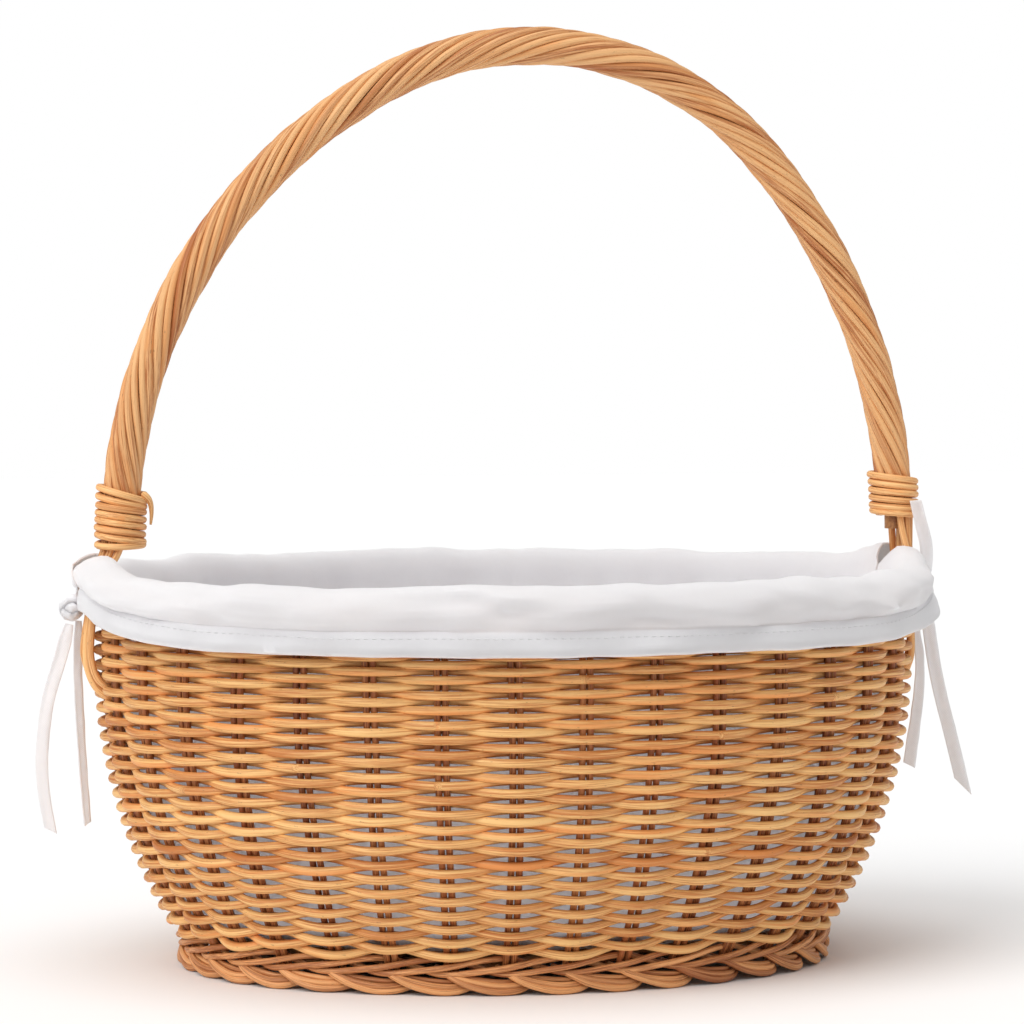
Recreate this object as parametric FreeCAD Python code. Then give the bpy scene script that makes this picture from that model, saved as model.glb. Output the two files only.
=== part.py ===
"""Handled willow basket with a turned-over cotton liner, tied at both ends.

Units are millimetres. Z is up and the basket stands on z = 0. X runs along
the basket, from one foot of the handle to the other, and Y across it.
"""
import FreeCAD, Part
import math
import os

# Wall, measured to the outer face of the weave at the rim
wall_half_length = 185.0
wall_half_depth = 148.0
wall_top = 163.0
bulge_radius = 230.0
bulge_below_top = 25.0

# Rods
weaver_diameter = 3.0
weaver_gap = 0.1
stake_diameter = 2.8
stake_pair_gap = 0.2
stake_count = 34
stake_start = -8.5
waling_diameter = 4.2
waling_rows = 1
rows_per_band = 6
crossing_gap = 0.2

# Foot and base
foot_height = 15.0
foot_width = 11.0
foot_edge_radius = 3.0
foot_overhang = 4.0
base_stick_diameter = 4.5
base_stick_gap = 0.5
long_stick_count = 5
short_stick_count = 4
short_stick_spacing = 18.0
base_slath_half_length = 45.0
base_row_pitch = 3.9
base_centre_clear = 5.0
base_row_break = 0.6

# Rim under the liner
rim_height = 6.0
rim_width = 9.0

# Handle
handle_inset = 6.5
handle_shift = 4.5
handle_foot_run = 5.9
handle_rise = 218.7
handle_least_rise_past_reach = 4.0
handle_crown_inset = 38.5
handle_lean = 9.0
handle_right_lift = 5.5
handle_core_diameter = 9.0
handle_strand_diameter = 3.5
handle_strand_count = 11
handle_strand_gap = 0.55
handle_foot_rise = 19.0
handle_lay_length = 130.0
handle_lay_steps = 10
binding_rod_diameter = 3.2
binding_turns = {-1: 8, 1: 7}
binding_gap = 0.2
leg_rod_diameter = 3.4
leg_rods_per_side = 3
leg_rod_pitch = 4.2
leg_first_rod = 6.0
leg_below_hem = 26.0
leg_start_gap = 1.0
leg_wall_gap = 0.3
leg_shoulder_gap = 1.5
leg_shoulder_rise = 3.0
leg_first_angle = 18.0
leg_angle_step = 34.0
leg_bend_reach = 5.0

# Liner
liner_thickness = 2.0
liner_wall_gap = 1.0
liner_floor_gap = 1.0
cuff_gap = 0.7
cuff_top_thickness = 7.0
cuff_hem_thickness = 11.0
cuff_top_radius = 4.0
cuff_overlap_height = 9.0
cuff_hem_drop = 19.1
hem_band_height = 9.0
hem_band_thickness = 2.5
hem_gap = 0.1
cuff_slit_half_width = 17.5

# Ties
tie_knot_radius = 6.5
tie_knot_gap = 0.5
tie_knot_rise = 12.0
tie_tape_width = 6.0
tie_narrow_width = 4.0

# Share of a straight run that the bend at its end may take
bend_share = 0.45

# Places that follow from the sizes above
bulge_height = wall_top - bulge_below_top
weaver_radius = weaver_diameter / 2
stake_radius = stake_diameter / 2
waling_radius = waling_diameter / 2
wall_thickness = 2 * weaver_diameter + stake_diameter + 2 * crossing_gap
stake_line = -wall_thickness / 2
waling_pitch = waling_diameter + weaver_gap
weaver_pitch = weaver_diameter + weaver_gap
waling_bottom = foot_height + weaver_gap
weave_bottom = waling_bottom + waling_rows * waling_pitch
weave_rows = int((wall_top - weave_bottom) / weaver_pitch)
rim_bottom = weave_bottom + weave_rows * weaver_pitch + weaver_gap
rim_top = rim_bottom + rim_height
base_height = foot_height
liner_floor_bottom = base_height + base_stick_diameter + weaver_diameter + liner_floor_gap
liner_outer = -wall_thickness - liner_wall_gap
liner_inner = liner_outer - liner_thickness
strand_line_radius = handle_core_diameter / 2 + handle_strand_diameter / 2 + handle_strand_gap
bundle_radius = strand_line_radius + handle_strand_diameter / 2
strand_bottom = rim_top + handle_foot_rise
cuff_top = rim_top + cuff_overlap_height
cuff_hem_bottom = rim_top - cuff_hem_drop
leg_bottom = cuff_hem_bottom - leg_below_hem
handle_half_span = wall_half_length - handle_inset
handle_crown_radius = handle_half_span - handle_crown_inset
# A hoop of these arcs is never lower than its longer reach
handle_height = max(handle_rise, handle_half_span + abs(handle_lean) + handle_least_rise_past_reach)
handle_springing = strand_bottom + handle_foot_run
foot_bottoms = {-1: strand_bottom, 1: strand_bottom + handle_right_lift}

vector = FreeCAD.Vector
up = vector(0, 0, 1)

# The plan is an oval of four tangent arcs: two at the ends, two at the sides
end_radius = wall_half_depth * (1 + wall_half_depth / wall_half_length) / 2
end_centre = wall_half_length - end_radius
side_radius = (end_centre ** 2 + wall_half_depth ** 2 - end_radius ** 2) / (
    2 * (wall_half_depth - end_radius))
side_centre = side_radius - wall_half_depth
side_half_angle = math.atan2(end_centre, side_centre)
end_half_angle = math.pi / 2 - side_half_angle


def wall_drop(z):
    """How far the wall lies inside its top edge at height z."""
    if z >= bulge_height:
        return 0.0
    return bulge_radius - math.sqrt(bulge_radius ** 2 - (bulge_height - z) ** 2)


def wall_slope(z):
    """Cosine of the wall's lean from upright at height z."""
    if z >= bulge_height:
        return 1.0
    return math.sqrt(bulge_radius ** 2 - (bulge_height - z) ** 2) / bulge_radius


def plan_arcs():
    """Centre, radius and start and end angle of each arc, from the +X end round."""
    return [
        (end_centre, 0.0, end_radius, -end_half_angle, end_half_angle),
        (0.0, -side_centre, side_radius, end_half_angle, math.pi - end_half_angle),
        (-end_centre, 0.0, end_radius, math.pi - end_half_angle, math.pi + end_half_angle),
        (0.0, side_centre, side_radius, math.pi + end_half_angle, 2 * math.pi - end_half_angle),
    ]


def plan_length():
    """Length round the oval of the wall's outer face at the rim."""
    return sum(radius * (last - first) for _, _, radius, first, last in plan_arcs())


def plan_place(distance):
    """Point on the oval and its outward direction, a distance round from the +X end."""
    left = (distance + end_radius * end_half_angle) % plan_length()
    for centre_x, centre_y, radius, first, last in plan_arcs():
        span = radius * (last - first)
        if left <= span:
            break
        left -= span
    angle = first + left / radius
    outward = vector(math.cos(angle), math.sin(angle), 0)
    return vector(centre_x, centre_y, 0) + outward * radius, outward


def wall_point(distance, offset, z):
    """Point a distance round the oval, offset outwards from its line, at height z."""
    place, outward = plan_place(distance)
    return place + outward * offset + up * z


def oval_wire(offset, z):
    """Closed outline of the oval, offset outwards, at height z."""
    edges = []
    for centre_x, centre_y, radius, first, last in plan_arcs():
        circle = Part.Circle(vector(centre_x, centre_y, z), up, radius + offset)
        edges.append(Part.Arc(circle, first, last).toShape())
    return Part.Wire(edges)


def oval_plate(offset, bottom, top):
    """Flat oval plate."""
    return Part.Face(oval_wire(offset, bottom)).extrude(up * (top - bottom))


def oval_sweep(section):
    """Ring that carries a section of (offset, z) wires round the oval."""
    pieces = []
    for centre_x, centre_y, radius, first, last in plan_arcs():
        face = section(radius)
        face.rotate(vector(0, 0, 0), up, math.degrees(first))
        ring = face.revolve(vector(0, 0, 0), up, math.degrees(last - first))
        ring.translate(vector(centre_x, centre_y, 0))
        pieces.append(ring)
    ring = pieces[0].multiFuse(pieces[1:]).removeSplitter()
    return as_solid(ring)


def as_solid(shape):
    """The one solid in a shape, checked."""
    solids = shape.Solids
    if len(solids) != 1:
        raise ValueError("expected one solid, got %d" % len(solids))
    solid = solids[0]
    if solid.Volume < 0:
        solid.reverse()
    return solid


def polygon_section(points):
    """Section made of straight sides through (offset, z) points."""
    def section(radius):
        corners = [vector(radius + offset, 0, z) for offset, z in points]
        return Part.Face(Part.makePolygon(corners + corners[:1]))
    return section


def round_section(offset, z, rod_radius):
    """Round section at an offset and a height."""
    def section(radius):
        circle = Part.Circle(vector(radius + offset, 0, z), vector(0, 1, 0), rod_radius)
        return Part.Face(Part.Wire(circle.toShape()))
    return section


def rounded_path(points, reach, closed=False):
    """Straight runs joined by tangent arcs, which start up to a reach from each corner."""
    count = len(points)
    corners = range(count) if closed else range(1, count - 1)
    starts = {}
    ends = {}
    arcs = {}
    for i in corners:
        here = points[i]
        back = points[i - 1] - here
        ahead = points[(i + 1) % count] - here
        turn = math.pi - back.getAngle(ahead)
        length = min(reach, bend_share * back.Length, bend_share * ahead.Length)
        back.normalize()
        ahead.normalize()
        first = here + back * length
        last = here + ahead * length
        sagitta = length * math.tan(turn / 4)
        middle = back + ahead
        middle.normalize()
        arcs[i] = Part.Arc(first, here + middle * sagitta, last)
        starts[i] = first
        ends[i] = last
    edges = []
    runs = range(count) if closed else range(count - 1)
    for i in runs:
        following = (i + 1) % count
        run_start = ends.get(i, points[i])
        run_end = starts.get(following, points[following])
        edges.append(Part.LineSegment(run_start, run_end).toShape())
        if following in arcs:
            edges.append(arcs[following].toShape())
    return Part.Wire(edges)


def rod_along(path, rod_radius):
    """Round rod along a path of tangent edges."""
    edge = path.Edges[0]
    start = edge.valueAt(edge.FirstParameter)
    direction = edge.tangentAt(edge.FirstParameter)
    section = Part.Wire(Part.Circle(start, direction, rod_radius).toShape())
    return as_solid(path.makePipeShell([section], True, False))


def closed_rod_along(path, rod_radius):
    """Round rod along a closed path in one level plane."""
    edge = path.Edges[0]
    start = edge.valueAt(edge.FirstParameter)
    direction = edge.tangentAt(edge.FirstParameter)
    section = Part.Wire(Part.Circle(start, direction, rod_radius).toShape())
    shell = path.makePipeShell([section], False, False)
    solid = Part.Solid(Part.Shell(shell.Faces))
    if solid.Volume < 0:
        solid.reverse()
    return solid


nodes = {}


def add_node(name, shapes):
    """Keep the solids of one node."""
    solids = []
    for shape in shapes:
        solids.extend(shape.Solids)
    nodes[name] = solids


# Side stakes: pairs of rods that follow the wall from the foot to the rim

stake_spacing = plan_length() / stake_count


def stake_place(index):
    """How far round the oval a stake stands."""
    return stake_start + index * stake_spacing


def stake_rod(distance, bottom, top):
    """One upright rod on the stake line, bent to the wall's curve."""
    place, outward = plan_place(distance)
    # The rod's end is square to the rod, so it starts a little above the foot
    bottom += stake_radius * (bulge_height - bottom) / bulge_radius
    foot = place + outward * (stake_line - wall_drop(bottom)) + up * bottom
    middle_z = (bottom + bulge_height) / 2
    middle = place + outward * (stake_line - wall_drop(middle_z)) + up * middle_z
    knee = place + outward * stake_line + up * bulge_height
    head = place + outward * stake_line + up * top
    edges = [Part.Arc(foot, middle, knee).toShape(), Part.LineSegment(knee, head).toShape()]
    return rod_along(Part.Wire(edges), stake_radius)


def stake_pair(index):
    """The two rods of one stake, side by side."""
    half_step = (stake_diameter + stake_pair_gap) / 2
    # Rods draw together towards the foot, so they stand a little wider at the rim
    taper = 1 + wall_drop(foot_height) / end_radius
    centre = stake_place(index)
    return [
        stake_rod(centre + side * half_step * taper, foot_height, rim_bottom)
        for side in (-1, 1)]


def make_stakes():
    """Stakes in four groups of neighbours."""
    groups = {"right": [], "back": [], "left": [], "front": []}
    for index in range(stake_count):
        _, outward = plan_place(stake_place(index))
        if abs(outward.x) > abs(outward.y):
            side = "right" if outward.x > 0 else "left"
        else:
            side = "back" if outward.y > 0 else "front"
        groups[side].extend(stake_pair(index))
    for side, rods in groups.items():
        add_node("side_stakes_" + side, rods)


# Side weave: each row passes in front of one stake and behind the next

weave_reach = 6.0


def weave_row(row):
    """One closed row of the side weave."""
    z = weave_bottom + weaver_radius + row * weaver_pitch
    line = stake_line - wall_drop(z)
    base_turn = 2 * math.pi / stake_count
    clear = (stake_radius + weaver_radius + crossing_gap) / wall_slope(z)
    lean = 2 * math.atan(2 * clear / stake_spacing)
    points = []
    for index in range(stake_count):
        outside = (index + row) % 2 == 0
        if outside:
            offset = line + clear + weave_reach * math.tan((lean + base_turn) / 4)
        else:
            offset = line - clear - weave_reach * math.tan((lean - base_turn) / 4)
        points.append(wall_point(stake_place(index), offset, z))
    return closed_rod_along(rounded_path(points, weave_reach, closed=True), weaver_radius)


def make_side_weave():
    """All rows, in bands of neighbours."""
    band = 0
    rows = []
    for row in range(weave_rows):
        rows.append(weave_row(row))
        if len(rows) == rows_per_band or row == weave_rows - 1:
            band += 1
            add_node("side_weave_band_%d" % band, rows)
            rows = []


def make_waling():
    """Thick row round the bottom of the wall, outside the stakes."""
    for row in range(waling_rows):
        z = waling_bottom + waling_radius + row * waling_pitch
        clear = (stake_radius + waling_radius + crossing_gap) / wall_slope(z)
        offset = stake_line - wall_drop(z) + clear
        ring = oval_sweep(round_section(offset, z, waling_radius))
        add_node("waling_row_%d" % (row + 1), [ring])


def make_rim():
    """Flat border that closes the weave, under the liner."""
    profile = [(-rim_width, rim_bottom), (0, rim_bottom), (0, rim_top), (-rim_width, rim_top)]
    add_node("rim_border", [oval_sweep(polygon_section(profile))])


# Foot and base

foot_outer = foot_overhang - wall_drop(foot_height / 2)


def make_foot():
    """Plaited foot that the basket stands on, flat underneath."""
    inside = foot_outer - foot_width
    shoulder = foot_height - foot_edge_radius
    profile = [
        (inside, 0), (foot_outer - foot_edge_radius, 0), (foot_outer, foot_edge_radius),
        (foot_outer, shoulder), (foot_outer - foot_edge_radius / 2, foot_height),
        (inside, foot_height)]
    add_node("foot_border", [oval_sweep(polygon_section(profile))])


spoke_count = 2 * (long_stick_count + short_stick_count)
base_edge_offset = foot_outer - foot_width - 0.5


def spoke_end(index):
    """Where a base stick meets the foot."""
    distance = index * plan_length() / spoke_count
    return wall_point(distance, base_edge_offset, base_height)


def stick_ends(index, is_long):
    """Indices of the two ends of a base stick, right to left or back to front."""
    if is_long:
        first = index - (long_stick_count - 1) // 2
        return first, spoke_count // 2 - first
    first = (long_stick_count + 1) // 2 + index
    return first, spoke_count - first


def stick_bend(index, is_long, side):
    """Where a base stick leaves the crossing at the middle of the base."""
    if is_long:
        across = (index - (long_stick_count - 1) / 2) * (base_stick_diameter + base_stick_gap)
        return vector(side * base_slath_half_length, across, base_height)
    along = ((short_stick_count - 1) / 2 - index) * short_stick_spacing
    reach = (long_stick_count + 1) / 2 * (base_stick_diameter + base_stick_gap)
    return vector(along, side * reach, base_height)


def base_stick(index, is_long):
    """One stick right across the base, stepped up or down where the two sets cross."""
    first, last = stick_ends(index, is_long)
    level = -1 if is_long else 1
    step = up * level * base_stick_diameter / 2
    right = stick_bend(index, is_long, 1)
    left = stick_bend(index, is_long, -1)
    run = 3 * base_stick_diameter
    towards_right = spoke_end(first) - right
    towards_left = spoke_end(last) - left
    towards_right.normalize()
    towards_left.normalize()
    points = [
        spoke_end(first), right + towards_right * run, right + step,
        left + step, left + towards_left * run, spoke_end(last)]
    return rod_along(rounded_path(points, run / 2), base_stick_diameter / 2)


def spokes():
    """Outer straight part of each base stick, in order round the base."""
    lines = {}
    for is_long, count in ((True, long_stick_count), (False, short_stick_count)):
        for index in range(count):
            first, last = stick_ends(index, is_long)
            for end, side in ((first, 1), (last, -1)):
                lines[end % spoke_count] = (spoke_end(end), stick_bend(index, is_long, side))
    return [lines[index] for index in range(spoke_count)]


def base_row(row, lines):
    """One row of the base weave, over one stick and under the next."""
    clear = (base_stick_diameter + weaver_diameter) / 2 + crossing_gap
    reach = 2 * weaver_diameter
    crossings = []
    for end, bend in lines:
        inward = bend - end
        inward.normalize()
        crossings.append(end + inward * (weaver_diameter + row * base_row_pitch))
    spacing = min((crossings[i] - crossings[i - 1]).Length for i in range(spoke_count))
    rise = clear + reach * math.tan(math.atan(2 * clear / spacing) / 2)
    points = []
    for index, crossing in enumerate(crossings):
        level = 1 if (index + row) % 2 == 0 else -1
        points.append(crossing + up * level * rise)
    gap = points[0] - points[-1]
    gap.normalize()
    points.append(points[0] - gap * base_row_break)
    return rod_along(rounded_path(points, reach), weaver_radius)


def make_base():
    """Sticks and weave of the base."""
    add_node("base_sticks_long", [base_stick(i, True) for i in range(long_stick_count)])
    add_node("base_sticks_short", [base_stick(i, False) for i in range(short_stick_count)])
    lines = spokes()
    shortest = min((bend - end).Length for end, bend in lines)
    count = int((shortest - weaver_diameter - base_centre_clear) / base_row_pitch)
    add_node("base_weave", [base_row(row, lines) for row in range(count)])


# Handle: a core with strands laid round it, bound at both feet

crown_centre_z = handle_springing + handle_height - handle_crown_radius
shoulder_rise = handle_height - handle_crown_radius


def haunch(side):
    """Radius of the arc from one foot of the hoop to its crown, and the angle it turns."""
    reach = handle_half_span - side * handle_lean
    radius = (shoulder_rise ** 2 + reach ** 2 - handle_crown_radius ** 2) / (
        2 * (reach - handle_crown_radius))
    turn = math.atan2(shoulder_rise, radius - reach)
    return radius, turn


def handle_parts():
    """Edges of the handle's centre line, from the left foot over to the right foot."""
    left_foot = vector(handle_shift - handle_half_span, 0, foot_bottoms[-1])
    left_spring = vector(handle_shift - handle_half_span, 0, handle_springing)
    right_spring = vector(handle_shift + handle_half_span, 0, handle_springing)
    right_foot = vector(handle_shift + handle_half_span, 0, foot_bottoms[1])
    crown = vector(handle_shift + handle_lean, 0, handle_springing + handle_height)

    def haunch_points(side):
        radius, turn = haunch(side)
        centre = vector(handle_shift + side * (handle_half_span - radius), 0, handle_springing)
        places = []
        for angle in (turn / 2, turn):
            places.append(
                centre + vector(side * radius * math.cos(angle), 0, radius * math.sin(angle)))
        return places

    left_middle, left_joint = haunch_points(-1)
    right_middle, right_joint = haunch_points(1)
    return [
        Part.LineSegment(left_foot, left_spring).toShape(),
        Part.Arc(left_spring, left_middle, left_joint).toShape(),
        Part.Arc(left_joint, crown, right_joint).toShape(),
        Part.Arc(right_joint, right_middle, right_spring).toShape(),
        Part.LineSegment(right_spring, right_foot).toShape(),
    ]


def handle_place(distance, edges):
    """Point and direction on the handle's centre line."""
    left = distance
    for edge in edges:
        if left <= edge.Length or edge is edges[-1]:
            break
        left -= edge.Length
    parameter = edge.getParameterByLength(min(left, edge.Length))
    return edge.valueAt(parameter), edge.tangentAt(parameter)


def handle_strand(index, edges):
    """One rod laid round the core."""
    total = sum(edge.Length for edge in edges)
    count = int(round(total / handle_lay_length * handle_lay_steps))
    across = vector(0, 1, 0)
    points = []
    for i in range(count + 1):
        distance = total * i / count
        centre, direction = handle_place(distance, edges)
        outward = across.cross(direction)
        angle = 2 * math.pi * (index / handle_strand_count + distance / handle_lay_length)
        points.append(centre + outward * strand_line_radius * math.cos(angle)
                      - across * strand_line_radius * math.sin(angle))
    return rod_along(rounded_path(points, handle_lay_length), handle_strand_diameter / 2)


def leg_rod(side, face, index):
    """One rod from the bound foot of the handle, over the rim and down the wall."""
    drop_line = leg_rod_diameter / 2 + leg_wall_gap
    spread = leg_first_rod + index * leg_rod_pitch
    start_angle = math.radians(leg_first_angle + leg_angle_step * index)
    start_radius = bundle_radius - leg_rod_diameter / 2
    start = vector(
        handle_shift + side * (handle_half_span + start_radius * math.cos(start_angle)),
        face * start_radius * math.sin(start_angle), foot_bottoms[side] - leg_start_gap)
    distance = side * face * spread
    if side < 0:
        distance += plan_length() / 2
    points = [
        start,
        wall_point(distance, drop_line + leg_shoulder_gap, rim_top + leg_shoulder_rise),
        wall_point(distance, drop_line, rim_bottom),
        wall_point(distance, drop_line, (rim_bottom + leg_bottom) / 2),
        wall_point(distance, drop_line - wall_drop(leg_bottom), leg_bottom)]
    return rod_along(rounded_path(points, leg_bend_reach), leg_rod_diameter / 2)


def make_handle():
    """Core, strands, legs and bindings."""
    edges = handle_parts()
    core_path = Part.Wire(edges)
    add_node("handle_core", [rod_along(core_path, handle_core_diameter / 2)])
    add_node("handle_strands", [handle_strand(i, edges) for i in range(handle_strand_count)])
    turn_radius = bundle_radius + binding_gap + binding_rod_diameter / 2
    for side, side_name in ((-1, "left"), (1, "right")):
        turns = []
        for turn in range(binding_turns[side]):
            z = foot_bottoms[side] + (turn + 0.5) * binding_rod_diameter
            centre = vector(handle_shift + side * handle_half_span, 0, z)
            turns.append(Part.makeTorus(turn_radius, binding_rod_diameter / 2, centre, up))
        add_node("handle_binding_" + side_name, turns)
        for face, face_name in ((-1, "front"), (1, "back")):
            rods = [leg_rod(side, face, index) for index in range(leg_rods_per_side)]
            add_node("handle_leg_%s_%s" % (side_name, face_name), rods)


# Liner

def flap_cutter(face):
    """Block that keeps one half of the cuff, clear of the slits at the handle."""
    reach = 2 * wall_half_length
    return Part.makeBox(
        2 * reach, reach, 2 * cuff_top,
        vector(-reach, cuff_slit_half_width if face > 0 else -cuff_slit_half_width - reach, 0))


def make_liner():
    """Bag inside the basket and the two flaps turned down over the rim."""
    levels = [liner_floor_bottom + (rim_bottom - liner_floor_bottom) * i / 6 for i in range(7)]
    outer = [(liner_outer - wall_drop(z), z) for z in levels]
    inner = [(liner_inner - wall_drop(z), z) for z in reversed(levels)]
    add_node("liner_wall", [oval_sweep(polygon_section(outer + inner))])
    floor = oval_plate(
        liner_inner - wall_drop(liner_floor_bottom) - weaver_gap,
        liner_floor_bottom, liner_floor_bottom + liner_thickness)
    add_node("liner_floor", [floor])
    hem_top = cuff_hem_bottom + hem_band_height
    hem_inner = cuff_hem_thickness - hem_band_thickness
    profile = [
        (cuff_gap, cuff_hem_bottom), (hem_inner, cuff_hem_bottom), (hem_inner, hem_top),
        (cuff_hem_thickness, hem_top), (cuff_top_thickness, rim_top), (cuff_top_thickness - cuff_top_radius, cuff_top),
        (liner_inner + cuff_top_radius / 2, cuff_top), (liner_inner, cuff_top - cuff_top_radius),
        (liner_inner, rim_bottom + weaver_gap), (liner_outer, rim_bottom + weaver_gap),
        (liner_outer, rim_top + weaver_gap), (cuff_gap, rim_top + weaver_gap)]
    cuff = oval_sweep(polygon_section(profile))
    band_inner = hem_inner + hem_gap
    band_top = hem_top - hem_gap
    band_profile = [
        (band_inner, cuff_hem_bottom), (cuff_hem_thickness, cuff_hem_bottom),
        (cuff_hem_thickness, band_top), (band_inner, band_top)]
    band = oval_sweep(polygon_section(band_profile))
    for face, face_name in ((-1, "front"), (1, "back")):
        add_node("liner_cuff_" + face_name, [as_solid(cuff.common(flap_cutter(face)))])
        add_node("cuff_hem_" + face_name, [as_solid(band.common(flap_cutter(face)))])


# Ties: cotton tapes knotted round the handle's feet, with free ends

knot_x = wall_half_length + leg_rod_diameter + leg_wall_gap + tie_knot_radius + tie_knot_gap
knot_z = cuff_hem_bottom + tie_knot_rise
tie_routes = {
    "tie_tail_left_wide": (tie_tape_width, [
        (-197, -3, 154), (-201, -5, 139), (-207, -7, 122), (-210, -8, 102), (-210, -8, 82),
        (-206, -7, 63)]),
    "tie_tail_left_narrow": (tie_narrow_width, [
        (-192.5, 3, 155), (-192.8, 5, 138), (-192, 6, 120), (-191.2, 6.5, 101), (-190.2, 6, 82),
        (-188.5, 6, 64)]),
    "tie_tail_right_outer": (tie_tape_width, [
        (198, -3, 154), (199.5, -5, 137), (203, -6, 118), (208.5, -7, 97), (214.5, -7, 73)]),
    "tie_tail_right_inner": (tie_tape_width, [
        (193.5, 4.5, 155), (193.5, 7, 139), (192.5, 8, 121), (190.5, 8, 102), (187.5, 7, 83)]),
    "tie_tail_right_up": (tie_tape_width, [
        (196, -2, 167.5), (197, -6, 177), (195, -11, 187), (191, -14, 197), (188.5, -14.5, 206)]),
}


def bend_radii(points):
    """Radius of the arc at each inner point of a route."""
    radii = []
    for before, here, after in zip(points, points[1:], points[2:]):
        back = before - here
        ahead = after - here
        turn = math.pi - back.getAngle(ahead)
        radii.append(bend_share * min(back.Length, ahead.Length) / math.tan(turn / 2))
    return radii


def tie_tail(width, places):
    """Free end of a tape, as a plain tube of its width."""
    points = [vector(*place) for place in places]
    path = rounded_path(points, math.inf)
    tube = rod_along(path, width / 2)
    print("bend radii", [round(radius, 1) for radius in bend_radii(points)])
    print("length %.1f, volume %.0f against %.0f" % (
        path.Length, tube.Volume, math.pi * width ** 2 / 4 * path.Length))
    return tube


def make_ties():
    """Knots and tails."""
    for side, side_name in ((-1, "left"), (1, "right")):
        knot = Part.makeSphere(tie_knot_radius, vector(side * knot_x, 0, knot_z))
        add_node("tie_knot_" + side_name, [knot])
    for name, (width, places) in tie_routes.items():
        print(name)
        add_node(name, [tie_tail(width, places)])


make_foot()
make_base()
make_waling()
make_stakes()
make_side_weave()
make_rim()
make_handle()
make_liner()
make_ties()

os.makedirs("parts", exist_ok=True)
for name, solids in nodes.items():
    for solid in solids:
        if not solid.isValid() or not solid.isClosed():
            raise ValueError(name + " has a solid that isn't closed and valid")
    shape = solids[0] if len(solids) == 1 else Part.makeCompound(solids)
    shape.exportStep("parts/%s.step" % name)
    print("%-24s solids %3d  volume %10.1f" % (name, len(solids), shape.Volume))
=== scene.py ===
"""Oval cane basket with a roped hoop handle and a tied cotton liner.

Lengths are metres. The basket stands on z = 0, X runs along it and Y across it.
"""
import math
import random

import bpy
import numpy as np
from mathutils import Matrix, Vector, noise


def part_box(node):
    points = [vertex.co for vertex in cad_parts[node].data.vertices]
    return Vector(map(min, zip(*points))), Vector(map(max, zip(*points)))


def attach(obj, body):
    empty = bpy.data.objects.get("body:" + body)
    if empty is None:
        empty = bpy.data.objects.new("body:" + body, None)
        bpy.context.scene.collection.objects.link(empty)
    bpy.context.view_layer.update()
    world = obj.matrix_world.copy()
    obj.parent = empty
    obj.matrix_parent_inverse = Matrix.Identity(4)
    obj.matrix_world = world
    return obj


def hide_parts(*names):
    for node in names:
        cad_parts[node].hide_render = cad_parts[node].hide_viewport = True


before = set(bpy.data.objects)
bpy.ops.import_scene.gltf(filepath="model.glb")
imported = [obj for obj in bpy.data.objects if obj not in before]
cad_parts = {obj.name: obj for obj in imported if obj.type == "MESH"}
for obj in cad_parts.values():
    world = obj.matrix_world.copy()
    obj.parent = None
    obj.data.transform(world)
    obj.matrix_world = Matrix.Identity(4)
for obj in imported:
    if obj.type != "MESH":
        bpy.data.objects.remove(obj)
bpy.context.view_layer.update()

bl_info = {
    "name": "Lined Cane Basket",
    "version": (1, 0, 0),
    "blender": (4, 5, 0),
    "location": "View3D > Sidebar > Basket",
    "description": "Builds a lined cane basket with a roped handle, piece by piece",
    "category": "Add Mesh",
}

MM = 0.001
TAU = 2 * math.pi

# Wall and its plan, as the frame has them
HALF_LENGTH, HALF_DEPTH = 0.185, 0.148
BULGE_RADIUS, BULGE_HEIGHT = 0.230, 0.138
STAKE_COUNT = 34
STAKE_LINE = -4.6 * MM
STAKE_START = -8.5 * MM
RIM_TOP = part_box("rim_border")[1].z
RIM_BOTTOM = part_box("rim_border")[0].z
WEAVE_BOTTOM = 17.2 * MM
ROW_PITCH = 3.147 * MM
ROW_COUNT = 46
ROWS_PER_BAND = 6

END_RADIUS = HALF_DEPTH * (1 + HALF_DEPTH / HALF_LENGTH) / 2
END_CENTRE = HALF_LENGTH - END_RADIUS
SIDE_RADIUS = (END_CENTRE ** 2 + HALF_DEPTH ** 2 - END_RADIUS ** 2) / (
    2 * (HALF_DEPTH - END_RADIUS))
SIDE_CENTRE = SIDE_RADIUS - HALF_DEPTH
SIDE_HALF_ANGLE = math.atan2(END_CENTRE, SIDE_CENTRE)
END_HALF_ANGLE = math.pi / 2 - SIDE_HALF_ANGLE
PLAN_ARCS = [
    (END_CENTRE, 0.0, END_RADIUS, -END_HALF_ANGLE, END_HALF_ANGLE),
    (0.0, -SIDE_CENTRE, SIDE_RADIUS, END_HALF_ANGLE, math.pi - END_HALF_ANGLE),
    (-END_CENTRE, 0.0, END_RADIUS, math.pi - END_HALF_ANGLE, math.pi + END_HALF_ANGLE),
    (0.0, SIDE_CENTRE, SIDE_RADIUS, math.pi + END_HALF_ANGLE, TAU - END_HALF_ANGLE),
]
PLAN_LENGTH = sum(radius * (last - first) for _, _, radius, first, last in PLAN_ARCS)
STAKE_SPACING = PLAN_LENGTH / STAKE_COUNT

# Handle
HANDLE_HALF_SPAN, HANDLE_SPRING, HANDLE_RISE = 0.1785, 0.193, 0.2187
HANDLE_SHIFT, CROWN_RADIUS, CROWN_LEAN = 0.0045, 0.140, 0.009
# Lowest point of each binding, set against the frame's boxes
FOOT_BOTTOM = {-1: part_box("handle_binding_left")[0].z - 1.5 * MM,
               1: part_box("handle_binding_right")[0].z + 4.2 * MM}
BUNDLE_RADIUS = 8.55 * MM
STRAND_START = 2.2 * MM
LAY_LENGTH = 0.130

# How far inside the wall's line the liner hangs and how high its floor is, in millimetres
LINER_OFFSET = 11.0
LINER_FLOOR = 23.5

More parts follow.
